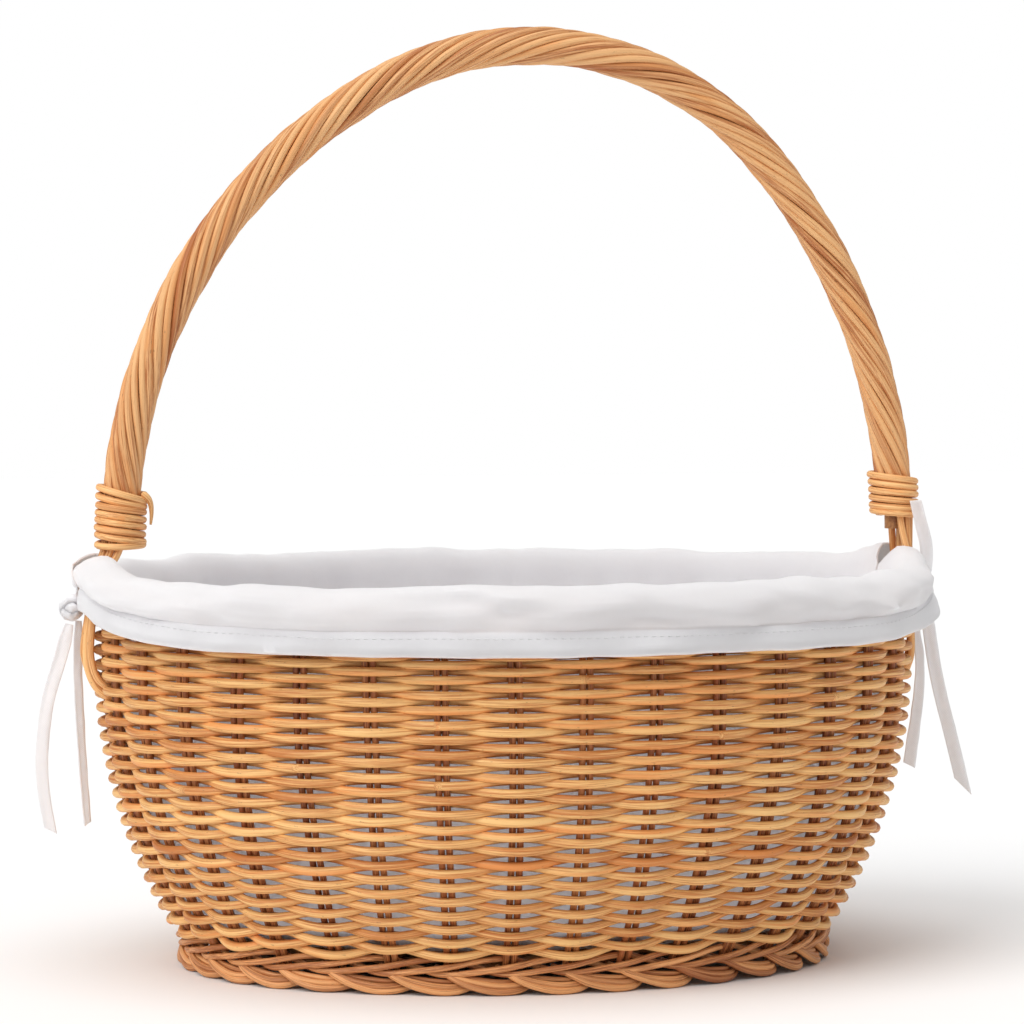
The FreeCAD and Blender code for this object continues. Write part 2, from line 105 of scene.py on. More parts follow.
# Rods of the foot border's loops: radius, lift and inset in millimetres, reach in stakes
FOOT_LAYERS = [(1.5, 0.0, 0.0, 1.28), (1.35, 2.4, 0.4, 1.24), (1.2, 4.4, 2.2, 1.18)]

# Each tie's free end: width, length in metres, the tape's turn in degrees from knot to end,
# the slant of its cut, and control points in millimetres
TIES = {
    "tie_tail_left_wide": (6 * MM, 0.093, (-10, -35), 0.5, [
        (-197, -3, 154), (-201, -5, 139), (-207, -7, 122), (-210, -8, 102), (-210, -8, 82),
        (-206, -7, 63)]),
    "tie_tail_left_narrow": (4 * MM, 0.091, (10, 40), -0.4, [
        (-192.5, 3, 155), (-192.8, 5, 138), (-192, 6, 120), (-191.2, 6.5, 101), (-190.2, 6, 82),
        (-188.5, 6, 64)]),
    "tie_tail_right_outer": (6 * MM, 0.083, (-4, -16), 1.6, [
        (198, -3, 154), (199.5, -5, 137), (203, -6, 118), (208.5, -7, 97), (214.5, -7, 73)]),
    "tie_tail_right_inner": (6 * MM, 0.073, (50, 5), 0.3, [
        (193.5, 3, 155), (195.5, 1, 139), (195.5, 0, 121), (193.5, -0.5, 102), (190, -2, 83)]),
    "tie_tail_right_up": (6 * MM, 0.042, (-10, 10), -0.25, [
        (196, -2, 167.5), (197, -6, 177), (195, -11, 187), (191, -14, 197),
        (188.5, -14.5, 206)]),
}


def srgb(red, green, blue):
    """Linear colour of a display colour given from 0 to 255."""
    return tuple(
        channel / 12.92 if channel <= 0.04045 else ((channel + 0.055) / 1.055) ** 2.4
        for channel in (red / 255, green / 255, blue / 255))


def unit(value):
    """A number kept between 0 and 1."""
    return min(max(value, 0.0), 1.0)


def run_along(points):
    """Length along a line from its first point to each of its points."""
    return np.concatenate([[0], np.cumsum(np.linalg.norm(np.diff(points, axis=0), axis=1))])


def spread(points, count):
    """The same line with a number of evenly spaced points."""
    run = run_along(points)
    wanted = np.linspace(0, run[-1], count)
    return np.stack([np.interp(wanted, run, points[:, axis]) for axis in range(3)], axis=1)


def bell(gap, width):
    """1 at no gap, falling smoothly to 0 over about twice the width."""
    return math.exp(-(gap / width) ** 2)


# ---------------------------------------------------------------- shapes of the wall

def plan(distance):
    """Points on the oval and outward directions, distances round from the +X end."""
    left = np.mod(np.atleast_1d(np.asarray(distance, float)) + END_RADIUS * END_HALF_ANGLE,
                  PLAN_LENGTH)
    place = np.zeros((len(left), 3))
    outward = np.zeros((len(left), 3))
    start = 0.0
    for centre_x, centre_y, radius, first, last in PLAN_ARCS:
        span = radius * (last - first)
        here = (left >= start) & (left <= start + span + 1e-12)
        angle = first + (left[here] - start) / radius
        outward[here, 0], outward[here, 1] = np.cos(angle), np.sin(angle)
        place[here] = outward[here] * radius + (centre_x, centre_y, 0)
        start += span
    return place, outward


def wall_lean(height):
    """Sine and cosine of the wall's lean from upright."""
    lean = np.clip((BULGE_HEIGHT - np.asarray(height, float)) / BULGE_RADIUS, 0, None)
    return lean, np.sqrt(1 - lean ** 2)


def wall_drop(height):
    """How far the wall lies inside its top edge."""
    return BULGE_RADIUS * (1 - wall_lean(height)[1])


def on_wall(distance, height, proud, base=STAKE_LINE):
    """Points at a distance round and a height, standing proud of the stakes square to the wall."""
    place, outward = plan(distance)
    height = np.broadcast_to(np.asarray(height, float), (len(place),))
    proud = np.broadcast_to(np.asarray(proud, float), (len(place),))
    lean, upright = wall_lean(height)
    points = place + outward * (base - wall_drop(height) + proud * upright)[:, None]
    points[:, 2] = height - proud * lean
    return points


def wander(seed, values, pitch):
    """Smooth seeded noise from -1 to 1 along a list of values."""
    return np.array([noise.noise((value / pitch, seed * 7.31, seed * 1.7)) for value in values])


# ---------------------------------------------------------------- making rods

def deselect():
    """Select nothing, in object mode."""
    if bpy.context.object and bpy.context.object.mode != "OBJECT":
        bpy.ops.object.mode_set(mode="OBJECT")
    bpy.ops.object.select_all(action="DESELECT")


def only(piece):
    """Select one object and nothing else."""
    deselect()
    piece.select_set(True)
    bpy.context.view_layer.objects.active = piece


def make_rods(name, rods, facets=2):
    """One mesh of many round rods. A rod is (points, radii, tone, closed).

    The rods are curves turned into a mesh. U of its UV map is the length along a
    rod in metres, V goes once round it, and tone is a number per point."""
    curve = bpy.data.curves.new(name, "CURVE")
    curve.dimensions = "3D"
    curve.bevel_depth = 1.0
    curve.bevel_resolution = facets
    for points, radii, _, closed in rods:
        spline = curve.splines.new("POLY")
        spline.points.add(len(points) - 1)
        flat = np.ones((len(points), 4))
        flat[:, :3] = points
        spline.points.foreach_set("co", flat.ravel())
        spline.points.foreach_set("radius", np.broadcast_to(radii, (len(points),)).astype(float))
        spline.use_cyclic_u = closed
    piece = bpy.data.objects.new(name, curve)
    bpy.context.scene.collection.objects.link(piece)
    only(piece)
    bpy.ops.object.convert(target="MESH")
    piece = bpy.context.view_layer.objects.active
    mesh = piece.data
    sides = 4 + 2 * facets
    if len(mesh.vertices) != sum(len(rod[0]) for rod in rods) * sides:
        raise RuntimeError(name + ": the rods didn't turn into the expected mesh")
    tone = np.concatenate([
        np.repeat(np.broadcast_to(rod[2], (len(rod[0]),)), sides) for rod in rods])
    length = np.concatenate([
        np.full(len(rod[0]) * sides, run_along(rod[0])[-1]) for rod in rods])
    corner = np.empty(len(mesh.loops), int)
    mesh.loops.foreach_get("vertex_index", corner)
    uv = np.empty(len(mesh.loops) * 2)
    mesh.uv_layers[0].data.foreach_get("uv", uv)
    uv[0::2] *= length[corner]
    mesh.uv_layers[0].data.foreach_set("uv", uv)
    mesh.uv_layers[0].name = "UVMap"
    mesh.attributes.new("tone", "FLOAT", "POINT").data.foreach_set("value", tone.astype(float))
    if not all(rod[3] for rod in rods):
        bpy.ops.object.mode_set(mode="EDIT")
        bpy.ops.mesh.select_all(action="SELECT")
        bpy.ops.mesh.fill_holes(sides=0)
        bpy.ops.object.mode_set(mode="OBJECT")
    bpy.ops.object.shade_smooth_by_angle(angle=math.radians(60))
    return piece


def smooth_line(points, count=None):
    """Rounded line through a few points, as a curve gives it."""
    curve = bpy.data.curves.new("line", "CURVE")
    curve.dimensions = "3D"
    spline = curve.splines.new("NURBS")
    spline.points.add(len(points) - 1)
    for point, place in zip(spline.points, points):
        point.co = (*place, 1.0)
    spline.order_u = 3
    spline.use_endpoint_u = True
    spline.resolution_u = 12
    holder = bpy.data.objects.new("line", curve)
    bpy.context.scene.collection.objects.link(holder)
    mesh = bpy.data.meshes.new_from_object(holder)
    line = np.array([vertex.co[:] for vertex in mesh.vertices])
    bpy.data.objects.remove(holder)
    bpy.data.meshes.remove(mesh)
    bpy.data.curves.remove(curve)
    return line if count is None else spread(line, count)


def apply_modifier(piece, label, kind, **values):
    """Add a modifier to the active piece and apply it."""
    modifier = piece.modifiers.new(label, kind)
    for key, value in values.items():
        setattr(modifier, key, value)
    bpy.ops.object.modifier_apply(modifier=modifier.name)


def finish_piece(piece, slot, material, *nodes):
    """Material, body and the frame nodes that a piece stands for. The slot is not used."""
    piece.data.materials.clear()
    piece.data.materials.append(material)
    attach(piece, "root")
    if nodes:
        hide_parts(*nodes)


# ---------------------------------------------------------------- finishes

def new_material(name):
    """A new finish: its material, its nodes and its shader."""
    material = bpy.data.materials.new(name)
    material.use_nodes = True
    return material, material.node_tree, material.node_tree.nodes["Principled BSDF"]


def new_group(name, *inputs):
    """A node group that puts out a colour, a roughness and a height."""
    tree = bpy.data.node_groups.new(name, "ShaderNodeTree")
    outputs = (("Color", "Color"), ("Roughness", "Float"), ("Height", "Float"))
    for way, sockets in (("INPUT", inputs), ("OUTPUT", outputs)):
        for label, kind in sockets:
            tree.interface.new_socket(label, in_out=way, socket_type="NodeSocket" + kind)
    return tree, tree.nodes.new("NodeGroupInput"), tree.nodes.new("NodeGroupOutput")


def add_bump(tree, shader, height, strength, distance):
    """A Bump node from a height to the shader's normal."""
    bump = tree.nodes.new("ShaderNodeBump")
    bump.inputs["Strength"].default_value = strength
    bump.inputs["Distance"].default_value = distance
    tree.links.new(height, bump.inputs["Height"])
    tree.links.new(bump.outputs["Normal"], shader.inputs["Normal"])


def link_group(tree, group, place, shader, strength, distance):
    """A group put between the piece's UV map and the shader."""
    tree.links.new(uv_output(tree), group.inputs[place])
    tree.links.new(group.outputs["Color"], shader.inputs["Base Color"])
    tree.links.new(group.outputs["Roughness"], shader.inputs["Roughness"])
    add_bump(tree, shader, group.outputs["Height"], strength, distance)


def uv_output(tree):
    """The piece's own UV map."""
    layout = tree.nodes.new("ShaderNodeUVMap")
    layout.uv_map = "UVMap"
    return layout.outputs["UV"]


def maths(tree, operation, first, second=None, third=None):
    """A Math node with values or links for its inputs."""
    made = tree.nodes.new("ShaderNodeMath")
    made.operation = operation
    for index, value in enumerate((first, second, third)):
        if value is None:
            continue
        if isinstance(value, (int, float)):
            made.inputs[index].default_value = value
        else:
            tree.links.new(value, made.inputs[index])
    return made.outputs[0]


def blend_colour(tree, factor, first, second, mode="MIX"):
    """A colour Mix node."""
    made = tree.nodes.new("ShaderNodeMix")
    made.data_type = "RGBA"
    made.blend_type = mode
    for index, value in ((0, factor), (6, first), (7, second)):
        socket = made.inputs[index]
        if isinstance(value, (int, float)):
            socket.default_value = value
        elif isinstance(value, tuple):
            socket.default_value = (*value, 1.0)
        else:
            tree.links.new(value, socket)
    return made.outputs[2]


def ramp(tree, value, low, high):
    """A value stretched from 0 at low to 1 at high."""
    made = tree.nodes.new("ShaderNodeMapRange")
    made.interpolation_type = "SMOOTHSTEP"
    made.inputs["From Min"].default_value = low
    made.inputs["From Max"].default_value = high
    tree.links.new(value, made.inputs["Value"])
    return made.outputs["Result"]


def noise_value(tree, vector, scale, detail=2.0, rough=0.5):
    """A noise texture's value."""
    made = tree.nodes.new("ShaderNodeTexNoise")
    made.inputs["Scale"].default_value = scale
    made.inputs["Detail"].default_value = detail
    made.inputs["Roughness"].default_value = rough
    tree.links.new(vector, made.inputs["Vector"])
    return made.outputs["Fac"]


def cane_grain_group():
    """Cane's fibres, tone from rod to rod, warm patches, specks and node rings."""
    name = "Cane Grain"
    if name in bpy.data.node_groups:
        return bpy.data.node_groups[name]
    tree, given, result = new_group(
        name, ("Along Round", "Vector"), ("Tone", "Float"), ("Pale", "Color"),
        ("Deep", "Color"), ("Warm", "Color"), ("Streaks", "Float"))
    split = tree.nodes.new("ShaderNodeSeparateXYZ")
    tree.links.new(given.outputs["Along Round"], split.inputs[0])
    turn = maths(tree, "MULTIPLY", split.outputs["Y"], TAU)
    tone = given.outputs["Tone"]

    def stretched(along, round_):
        """Coordinates that close round the rod and differ from rod to rod."""
        made = tree.nodes.new("ShaderNodeCombineXYZ")
        shift = maths(tree, "MULTIPLY", tone, 47.0)
        length = maths(tree, "MULTIPLY", split.outputs["X"], along)
        tree.links.new(maths(tree, "ADD", length, shift), made.inputs[0])
        for socket, wave in ((1, "COSINE"), (2, "SINE")):
            tree.links.new(maths(tree, "MULTIPLY", maths(tree, wave, turn), round_),
                           made.inputs[socket])
        return made.outputs[0]

    fibre = noise_value(tree, stretched(24.0, 2.4), 1.0, 3.0, 0.65)
    fine = noise_value(tree, stretched(60.0, 5.5), 1.0, 3.0, 0.7)
    patch = noise_value(tree, stretched(9.0, 0.5), 1.0, 2.0, 0.5)
    speck = ramp(tree, noise_value(tree, stretched(420.0, 2.2), 1.0, 1.0), 0.70, 0.78)
    ring = ramp(tree, noise_value(tree, stretched(34.0, 0.05), 1.0, 0.0), 0.765, 0.80)
    depth = maths(tree, "MULTIPLY_ADD", maths(tree, "SUBTRACT", fibre, 0.5), 2.9, tone)
    depth = maths(tree, "MULTIPLY_ADD", maths(tree, "SUBTRACT", fine, 0.5),
                  given.outputs["Streaks"], depth)
    body = blend_colour(tree, ramp(tree, depth, 0.0, 1.05),
                        given.outputs["Pale"], given.outputs["Deep"])
    body = blend_colour(tree, maths(tree, "MULTIPLY", ramp(tree, patch, 0.52, 0.72), 0.75),
                        body, given.outputs["Warm"])
    body = blend_colour(tree, maths(tree, "MULTIPLY", speck, 0.45), body, (0.10, 0.045, 0.018))
    body = blend_colour(tree, maths(tree, "MULTIPLY", ring, 0.4), body, (0.16, 0.075, 0.03))
    tree.links.new(body, result.inputs["Color"])
    tree.links.new(maths(tree, "MULTIPLY_ADD", fibre, 0.25, 0.36), result.inputs["Roughness"])
    tree.links.new(maths(tree, "MULTIPLY_ADD", fine, 0.7, fibre), result.inputs["Height"])
    return tree


def cane_material(name, pale, deep, warm, streaks=2.4):
    """A satin cane or willow finish that follows each rod."""
    material, tree, shader = new_material(name)
    grain = tree.nodes.new("ShaderNodeGroup")
    grain.node_tree = cane_grain_group()
    for label, colour in (("Pale", pale), ("Deep", deep), ("Warm", warm)):
        grain.inputs[label].default_value = (*colour, 1.0)
    grain.inputs["Streaks"].default_value = streaks
    tone = tree.nodes.new("ShaderNodeAttribute")
    tone.attribute_name = "tone"
    tree.links.new(tone.outputs["Fac"], grain.inputs["Tone"])
    link_group(tree, grain, "Along Round", shader, 0.6, 0.0004)
    return material


def plain_cane_material(name, pale, deep, pitch):
    """Cane on the frame's own solids, mottled by place."""
    material, tree, shader = new_material(name)
    place = tree.nodes.new("ShaderNodeTexCoord").outputs["Object"]
    mottle = noise_value(tree, place, pitch, 3.0, 0.6)
    fibre = noise_value(tree, place, pitch * 9, 2.0, 0.6)
    mixed = maths(tree, "MULTIPLY_ADD", maths(tree, "SUBTRACT", fibre, 0.5), 0.5, mottle)
    tree.links.new(blend_colour(tree, ramp(tree, mixed, 0.3, 0.7), pale, deep),
                   shader.inputs["Base Color"])
    tree.links.new(maths(tree, "MULTIPLY_ADD", fibre, 0.2, 0.42), shader.inputs["Roughness"])
    add_bump(tree, shader, mixed, 0.3, 0.0004)
    return material


def cloth_weave_group():
    """Plain weave of cotton: crossing threads, slubs and faint soiling."""
    name = "Cotton Weave"
    if name in bpy.data.node_groups:
        return bpy.data.node_groups[name]
    tree, given, result = new_group(
        name, ("Across Along", "Vector"), ("Threads", "Float"), ("Light", "Color"),
        ("Shade", "Color"))
    split = tree.nodes.new("ShaderNodeSeparateXYZ")
    tree.links.new(given.outputs["Across Along"], split.inputs[0])
    waves = []
    for axis in ("X", "Y"):
        turned = maths(tree, "MULTIPLY", split.outputs[axis], given.outputs["Threads"])
        waves.append(maths(tree, "SINE", maths(tree, "MULTIPLY", turned, TAU)))
    crossing = maths(tree, "MULTIPLY", waves[0], waves[1])
    threads = maths(tree, "MULTIPLY_ADD", crossing, 0.5, 0.5)
    slub = noise_value(tree, given.outputs["Across Along"], 260.0, 3.0, 0.6)
    cloud = noise_value(tree, given.outputs["Across Along"], 22.0, 3.0, 0.5)
    mixed = maths(tree, "MULTIPLY_ADD", threads, 0.30, maths(tree, "MULTIPLY", cloud, 0.5))
    mixed = maths(tree, "MULTIPLY_ADD", slub, 0.25, mixed)
    tree.links.new(blend_colour(tree, ramp(tree, mixed, 0.15, 0.85),
                                given.outputs["Shade"], given.outputs["Light"]),
                   result.inputs["Color"])
    tree.links.new(maths(tree, "MULTIPLY_ADD", slub, 0.12, 0.80), result.inputs["Roughness"])
    tree.links.new(maths(tree, "MULTIPLY_ADD", slub, 0.8, threads), result.inputs["Height"])
    return tree


def cloth_material(name, light, shade, threads, depth):
    """Matt cotton that follows the piece's UV map in metres."""
    material, tree, shader = new_material(name)
    weave = tree.nodes.new("ShaderNodeGroup")
    weave.node_tree = cloth_weave_group()
    weave.inputs["Threads"].default_value = threads
    weave.inputs["Light"].default_value = (*light, 1.0)
    weave.inputs["Shade"].default_value = (*shade, 1.0)
    link_group(tree, weave, "Across Along", shader, depth, 0.0002)
    shader.inputs["Subsurface Weight"].default_value = 0.6
    shader.inputs["Subsurface Scale"].default_value = 0.008
    shader.inputs["Subsurface Radius"].default_value = (1.0, 1.0, 1.0)
    shader.inputs["Sheen Weight"].default_value = 0.25
    shader.inputs["Sheen Roughness"].default_value = 0.6
    shader.inputs["Specular IOR Level"].default_value = 0.3
    return material


def finishes():
    """The basket's materials, made once."""
    if "weaver_cane" in bpy.data.materials:
        return bpy.data.materials
    look = bpy.context.scene.basket_colours
    cane_material("weaver_cane", look.weaver_pale[:], look.weaver_deep[:], look.weaver_warm[:])
    cane_material("stake_cane", look.stake_pale[:], look.stake_deep[:], srgb(176, 98, 52), 2.4)
    cane_material("foot_cane", look.foot_pale[:], look.foot_deep[:], srgb(196, 132, 84), 2.0)
    cane_material("handle_cane", look.handle_pale[:], look.handle_deep[:], srgb(222, 152, 88), 2.0)
    cane_material("binding_cane", srgb(252, 198, 132), srgb(200, 124, 64), srgb(248, 170, 98), 2.0)
    plain_cane_material("hidden_cane", srgb(196, 140, 84), srgb(128, 78, 40), 60.0)
    cloth_material("liner_cotton", look.cotton[:], look.cotton_shade[:], 1400.0, 0.25)
    cloth_material("tie_cotton", look.cotton[:], srgb(232, 230, 233), 1100.0, 0.5)
    return bpy.data.materials


def add_rods(name, rods, slot, finish, node, facets=2):
    """A piece of round rods with its finish and the frame node it stands for."""
    finish_piece(make_rods(name, rods, facets), slot, finishes()[finish], node)


# ---------------------------------------------------------------- wall pieces

def stake_shift(index, height):
    """How far a stake stands off its even place, by height."""
    wobble = noise.noise((index * 3.7, height * 9.0, 0.4)) * 2.2 * MM
    lean = noise.noise((index * 5.1, 2.0, 7.3)) * (height - 0.08) * 0.05
    return wobble + lean


def stake_places(height):
    """Distances round of all the stakes at a height."""
    return np.array([STAKE_START + k * STAKE_SPACING + stake_shift(k, height)
                     for k in range(STAKE_COUNT)])


def round_the_wall(height, per_stake):
    """Stake numbers and distances round, with a number of steps from stake to stake."""
    stakes = stake_places(height)
    wrapped = np.concatenate([stakes, [stakes[0] + PLAN_LENGTH]])
    phase = np.arange(STAKE_COUNT * per_stake) / per_stake
    return phase, np.interp(phase, np.arange(STAKE_COUNT + 1), wrapped)


def weaver_line(row, sizes):
    """Points, radii and tones of one row that goes over one stake and under the next."""
    height = WEAVE_BOTTOM + 1.5 * MM + row * ROW_PITCH
    per_stake = 9
    phase, distance = round_the_wall(height, per_stake)
    wave = np.cos(math.pi * (phase + row))
    thick = sizes.weaver_thickness / 2
    ripple = wander(row + 11, distance, 0.05)
    radius = thick * (1.0 + 0.11 * wave + 0.05 * wander(row + 90, distance, 0.11))
    out = sizes.stake_thickness / 2 + thick * 1.06
    sunk = 2.85 * MM
    proud = 0.5 * (out + sunk) * wave + 0.5 * (out - sunk) + 0.25 * MM * ripple
    lift = 0.34 * MM * wander(row + 40, distance, 0.07) + 0.10 * MM * wave * ripple
    points = on_wall(distance, height + lift, proud)
    chance = random.Random(500 + row)
    tone = np.empty(len(phase))
    step = 0
    while step < len(phase):
        run = per_stake * (2 * chance.randint(9, 22))
        tone[step:step + run] = unit(chance.gauss(0.42, 0.2))
        step += run
    return points, radius, tone, True


def make_weave_band(band, sizes):
    """Six neighbouring rows of the side weave."""
    rows = range(band * ROWS_PER_BAND, min((band + 1) * ROWS_PER_BAND, ROW_COUNT))
    add_rods("side_weave_%d" % (band + 1), [weaver_line(row, sizes) for row in rows],
             "willow_weave", "weaver_cane", "side_weave_band_%d" % (band + 1), 3)


def stake_rods(index, sizes):
    """The two rods of one stake."""
    heights = np.linspace(9 * MM, RIM_BOTTOM - 0.3 * MM, 26)
    chance = random.Random(900 + index)
    rods = []
    for side in (-1, 1):
        shift = np.array([stake_shift(index, height) for height in heights])
        gap = side * (sizes.stake_thickness / 2 + 0.2 * MM) * (
            1 + wall_drop(heights) / END_RADIUS * 0.9)
        distance = STAKE_START + index * STAKE_SPACING + shift + gap
        proud = 0.15 * MM * wander(index * 2 + side + 200, heights, 0.04)
        radius = sizes.stake_thickness / 2 * (
            1 + 0.06 * wander(index * 2 + side + 300, heights, 0.05))
        rods.append((on_wall(distance, heights, proud), radius,
                     unit(chance.gauss(0.5, 0.2)), False))
    return rods


def stake_side(index):
    """Name of the side of the basket that a stake stands on."""
    _, outward = plan([STAKE_START + index * STAKE_SPACING])
    x, y = outward[0, 0], outward[0, 1]
    if abs(x) > abs(y):
        return "right" if x > 0 else "left"
    return "back" if y > 0 else "front"


def waling_line(strand):
    """One strand of the three-rod wale: over two stakes, behind the third, rising as it goes."""
    base = 13.6 * MM
    phase, distance = round_the_wall(base, 8)
    # The pattern runs over 34 stakes, so one repeat is a little longer than three
    repeats = 11
    place = np.mod(phase * 3 * repeats / STAKE_COUNT - strand, 3)
    keys = [0.0, 0.3, 1.25, 1.75, 2.25, 2.7, 3.0]
    path = np.stack([
        np.interp(place, keys, [3.4, 5.0, 4.2, 1.2, -2.4, -0.4, 3.4]) * MM,
        np.interp(place, keys, [-2.3, -1.8, 1.0, 2.1, 1.0, -1.6, -2.3]) * MM])
    for _ in range(2):
        path = (np.roll(path, 1, axis=1) + 2 * path + np.roll(path, -1, axis=1)) / 4
    proud, rise = path
    rise = rise + 0.3 * MM * wander(strand + 600, distance, 0.06)
    radius = 1.4 * MM * (1 + 0.12 * wander(strand + 620, distance, 0.09))
    tone = 0.5 + 0.45 * wander(strand + 640, distance, 0.25)
    return on_wall(distance, base + rise, proud), radius, tone, True


def foot_rods():
    """Loops of the foot border: rods sweep down from a stake, along and under the next."""
    rods = []
    foot_outer = 4 * MM - wall_drop(7.5 * MM)
    for index in range(STAKE_COUNT):
        chance = random.Random(1300 + index)
        start = STAKE_START + index * STAKE_SPACING + chance.uniform(-1.2, 1.2) * MM
        for thickness, lift, inset, reach in FOOT_LAYERS:
            radius = thickness * MM * chance.uniform(0.93, 1.06)
            # Steps along in stakes, then proud of the foot and height in millimetres
            route = [
                (-0.22, -6.5, 11.5), (-0.12, -2.2, 10.4), (0.06, 0.1, 7.8 + 0.30 * lift),
                (0.34, 0.6, 4.4 + 0.70 * lift), (0.72, 0.5, 1.8 + lift),
                (1.02, -0.3, 1.6 + lift * 0.95), (reach, -3.5, 2.6 + lift * 0.75),
                (reach + 0.16, -7.5, 4.2 + lift * 0.5)]
            places = []
            for along, proud, height in route:
                spot, outward = plan([start + along * STAKE_SPACING])
                wobble = chance.uniform(-0.3, 0.3)
                offset = foot_outer - radius + (proud - inset + wobble) * MM
                level = max(height + chance.uniform(-0.3, 0.3), radius / MM + 0.02) * MM
                places.append(spot[0] + outward[0] * offset + np.array([0, 0, level]))
            line = smooth_line(places, 26)
            line[:, 2] = np.maximum(line[:, 2], radius * 1.02)
            taper = radius * np.interp(np.linspace(0, 1, 26), [0, 0.2, 0.8, 1], [0.9, 1, 1, 0.8])
            rods.append((line, taper, unit(chance.gauss(0.5, 0.25)), False))
    return rods


# ---------------------------------------------------------------- handle

def hoop(count):
    """Points, outward directions and run along the handle's centre line, left to right."""
    def haunch(reach):
        rise = HANDLE_RISE - CROWN_RADIUS
        radius = (rise ** 2 + reach ** 2 - CROWN_RADIUS ** 2) / (2 * (reach - CROWN_RADIUS))
        return radius, math.atan2(rise, radius - reach)

    left_radius, left_turn = haunch(HANDLE_HALF_SPAN + CROWN_LEAN)
    right_radius, right_turn = haunch(HANDLE_HALF_SPAN - CROWN_LEAN)
    crown_z = HANDLE_SPRING + HANDLE_RISE - CROWN_RADIUS
    dense = [(-HANDLE_HALF_SPAN, FOOT_BOTTOM[-1], math.pi)]
    for angle in np.linspace(math.pi, 0, 2500):
        if angle > math.pi - left_turn:
            centre, radius = (-HANDLE_HALF_SPAN + left_radius, HANDLE_SPRING), left_radius
        elif angle > right_turn:
            centre, radius = (CROWN_LEAN, crown_z), CROWN_RADIUS
        else:
            centre, radius = (HANDLE_HALF_SPAN - right_radius, HANDLE_SPRING), right_radius
        dense.append((centre[0] + radius * math.cos(angle),
                      centre[1] + radius * math.sin(angle), angle))
    dense = np.array([place for place in dense
                      if place[1] >= FOOT_BOTTOM[1 if place[2] < 1 else -1] + STRAND_START])
    steps = run_along(dense[:, :2])
    wanted = np.linspace(0, steps[-1], count)
    x, z, angle = (np.interp(wanted, steps, dense[:, column]) for column in range(3))
    zero = np.zeros(count)
    return (np.stack([x + HANDLE_SHIFT, zero, z], 1),
            np.stack([np.cos(angle), zero, np.sin(angle)], 1), wanted)


def foot_centre(side, height):
    """X of the handle's centre line near one of its feet."""
    centre, _, _ = hoop(800)
    near = centre[:, 0] * side > 0.09
    order = np.argsort(centre[near][:, 2])
    return np.interp(height, centre[near][order, 2], centre[near][order, 0])


def handle_rods(sizes):
    """Strands laid round the core, with the small slips that hand work leaves."""
    rods = []
    strand_count = 12
    centre, outward, run = hoop(260)
    front = np.array([0.0, -1.0, 0.0])
    for index in range(strand_count):
        chance = random.Random(2100 + index)
        radius = sizes.strand_thickness / 2 * chance.uniform(0.86, 1.12)
        slip = 0.10 * wander(index + 700, run, 0.09)
        angle = TAU * (index / strand_count + run / LAY_LENGTH) + slip
        reach = (BUNDLE_RADIUS - 1.75 * MM) * (1 + 0.045 * wander(index + 730, run, 0.05))
        points = (centre - outward * (reach * np.cos(angle))[:, None]
                  + front * (reach * np.sin(angle))[:, None])
        radii = radius * (1 + 0.07 * wander(index + 760, run, 0.08))
        tone = unit(chance.gauss(0.4, 0.24)) + 0.12 * wander(index + 790, run, 0.2)
        rods.append((points, radii, np.clip(tone, 0, 1), False))
    return rods


def binding_rod(side, turns, tail):
    """One long rod wound round a foot of the handle, with its end tucked out as a tail."""
    rod, rise_per_turn = 1.6 * MM, 3.22 * MM
    per_turn = 30
    angle = np.arange(int(turns * per_turn)) * TAU / per_turn
    turn = angle / TAU
    ring = BUNDLE_RADIUS + rod
    uneven = 0.75 * MM * wander(side + 61, turn, 1.6)
    height = FOOT_BOTTOM[side] + rod + 0.3 * MM + turn * rise_per_turn + uneven
    high = np.clip((turn - (turns - 2.3)) / 0.9, 0, 1)
    low = np.clip(1 - turn / 1.2, 0, 1)
    tilt = {-1: 0.09 + 0.15 * high - 0.2 * low, 1: 0.05 * high + 0.03}[side]
    x = np.cos(angle) * ring * (1 + 0.03 * wander(side + 5, angle, 2.0))
    y = -np.sin(angle) * ring * (1 + 0.03 * wander(side + 8, angle, 2.0))
    height = height - x * tilt
    points = np.stack([foot_centre(side, height) + x, y, height], 1)
    last = points[-1]
    step = (last - points[-2]) / np.linalg.norm(last - points[-2])
    tail_points = smooth_line([points[-2], last + step * 3 * MM] + [
        last + np.array(offset) * MM for offset in tail], 12)[1:]
    points = np.concatenate([points, tail_points])
    radii = np.full(len(points), rod)
    radii[:per_turn] *= 0.96
    radii[-9:] *= np.linspace(1.0, 0.35, 9)
    radii = radii * (1 + 0.06 * wander(side + 31, np.arange(len(points)), 17.0))
    return points, radii, 0.4 + 0.3 * wander(side + 40, np.arange(len(points)), 60.0), False


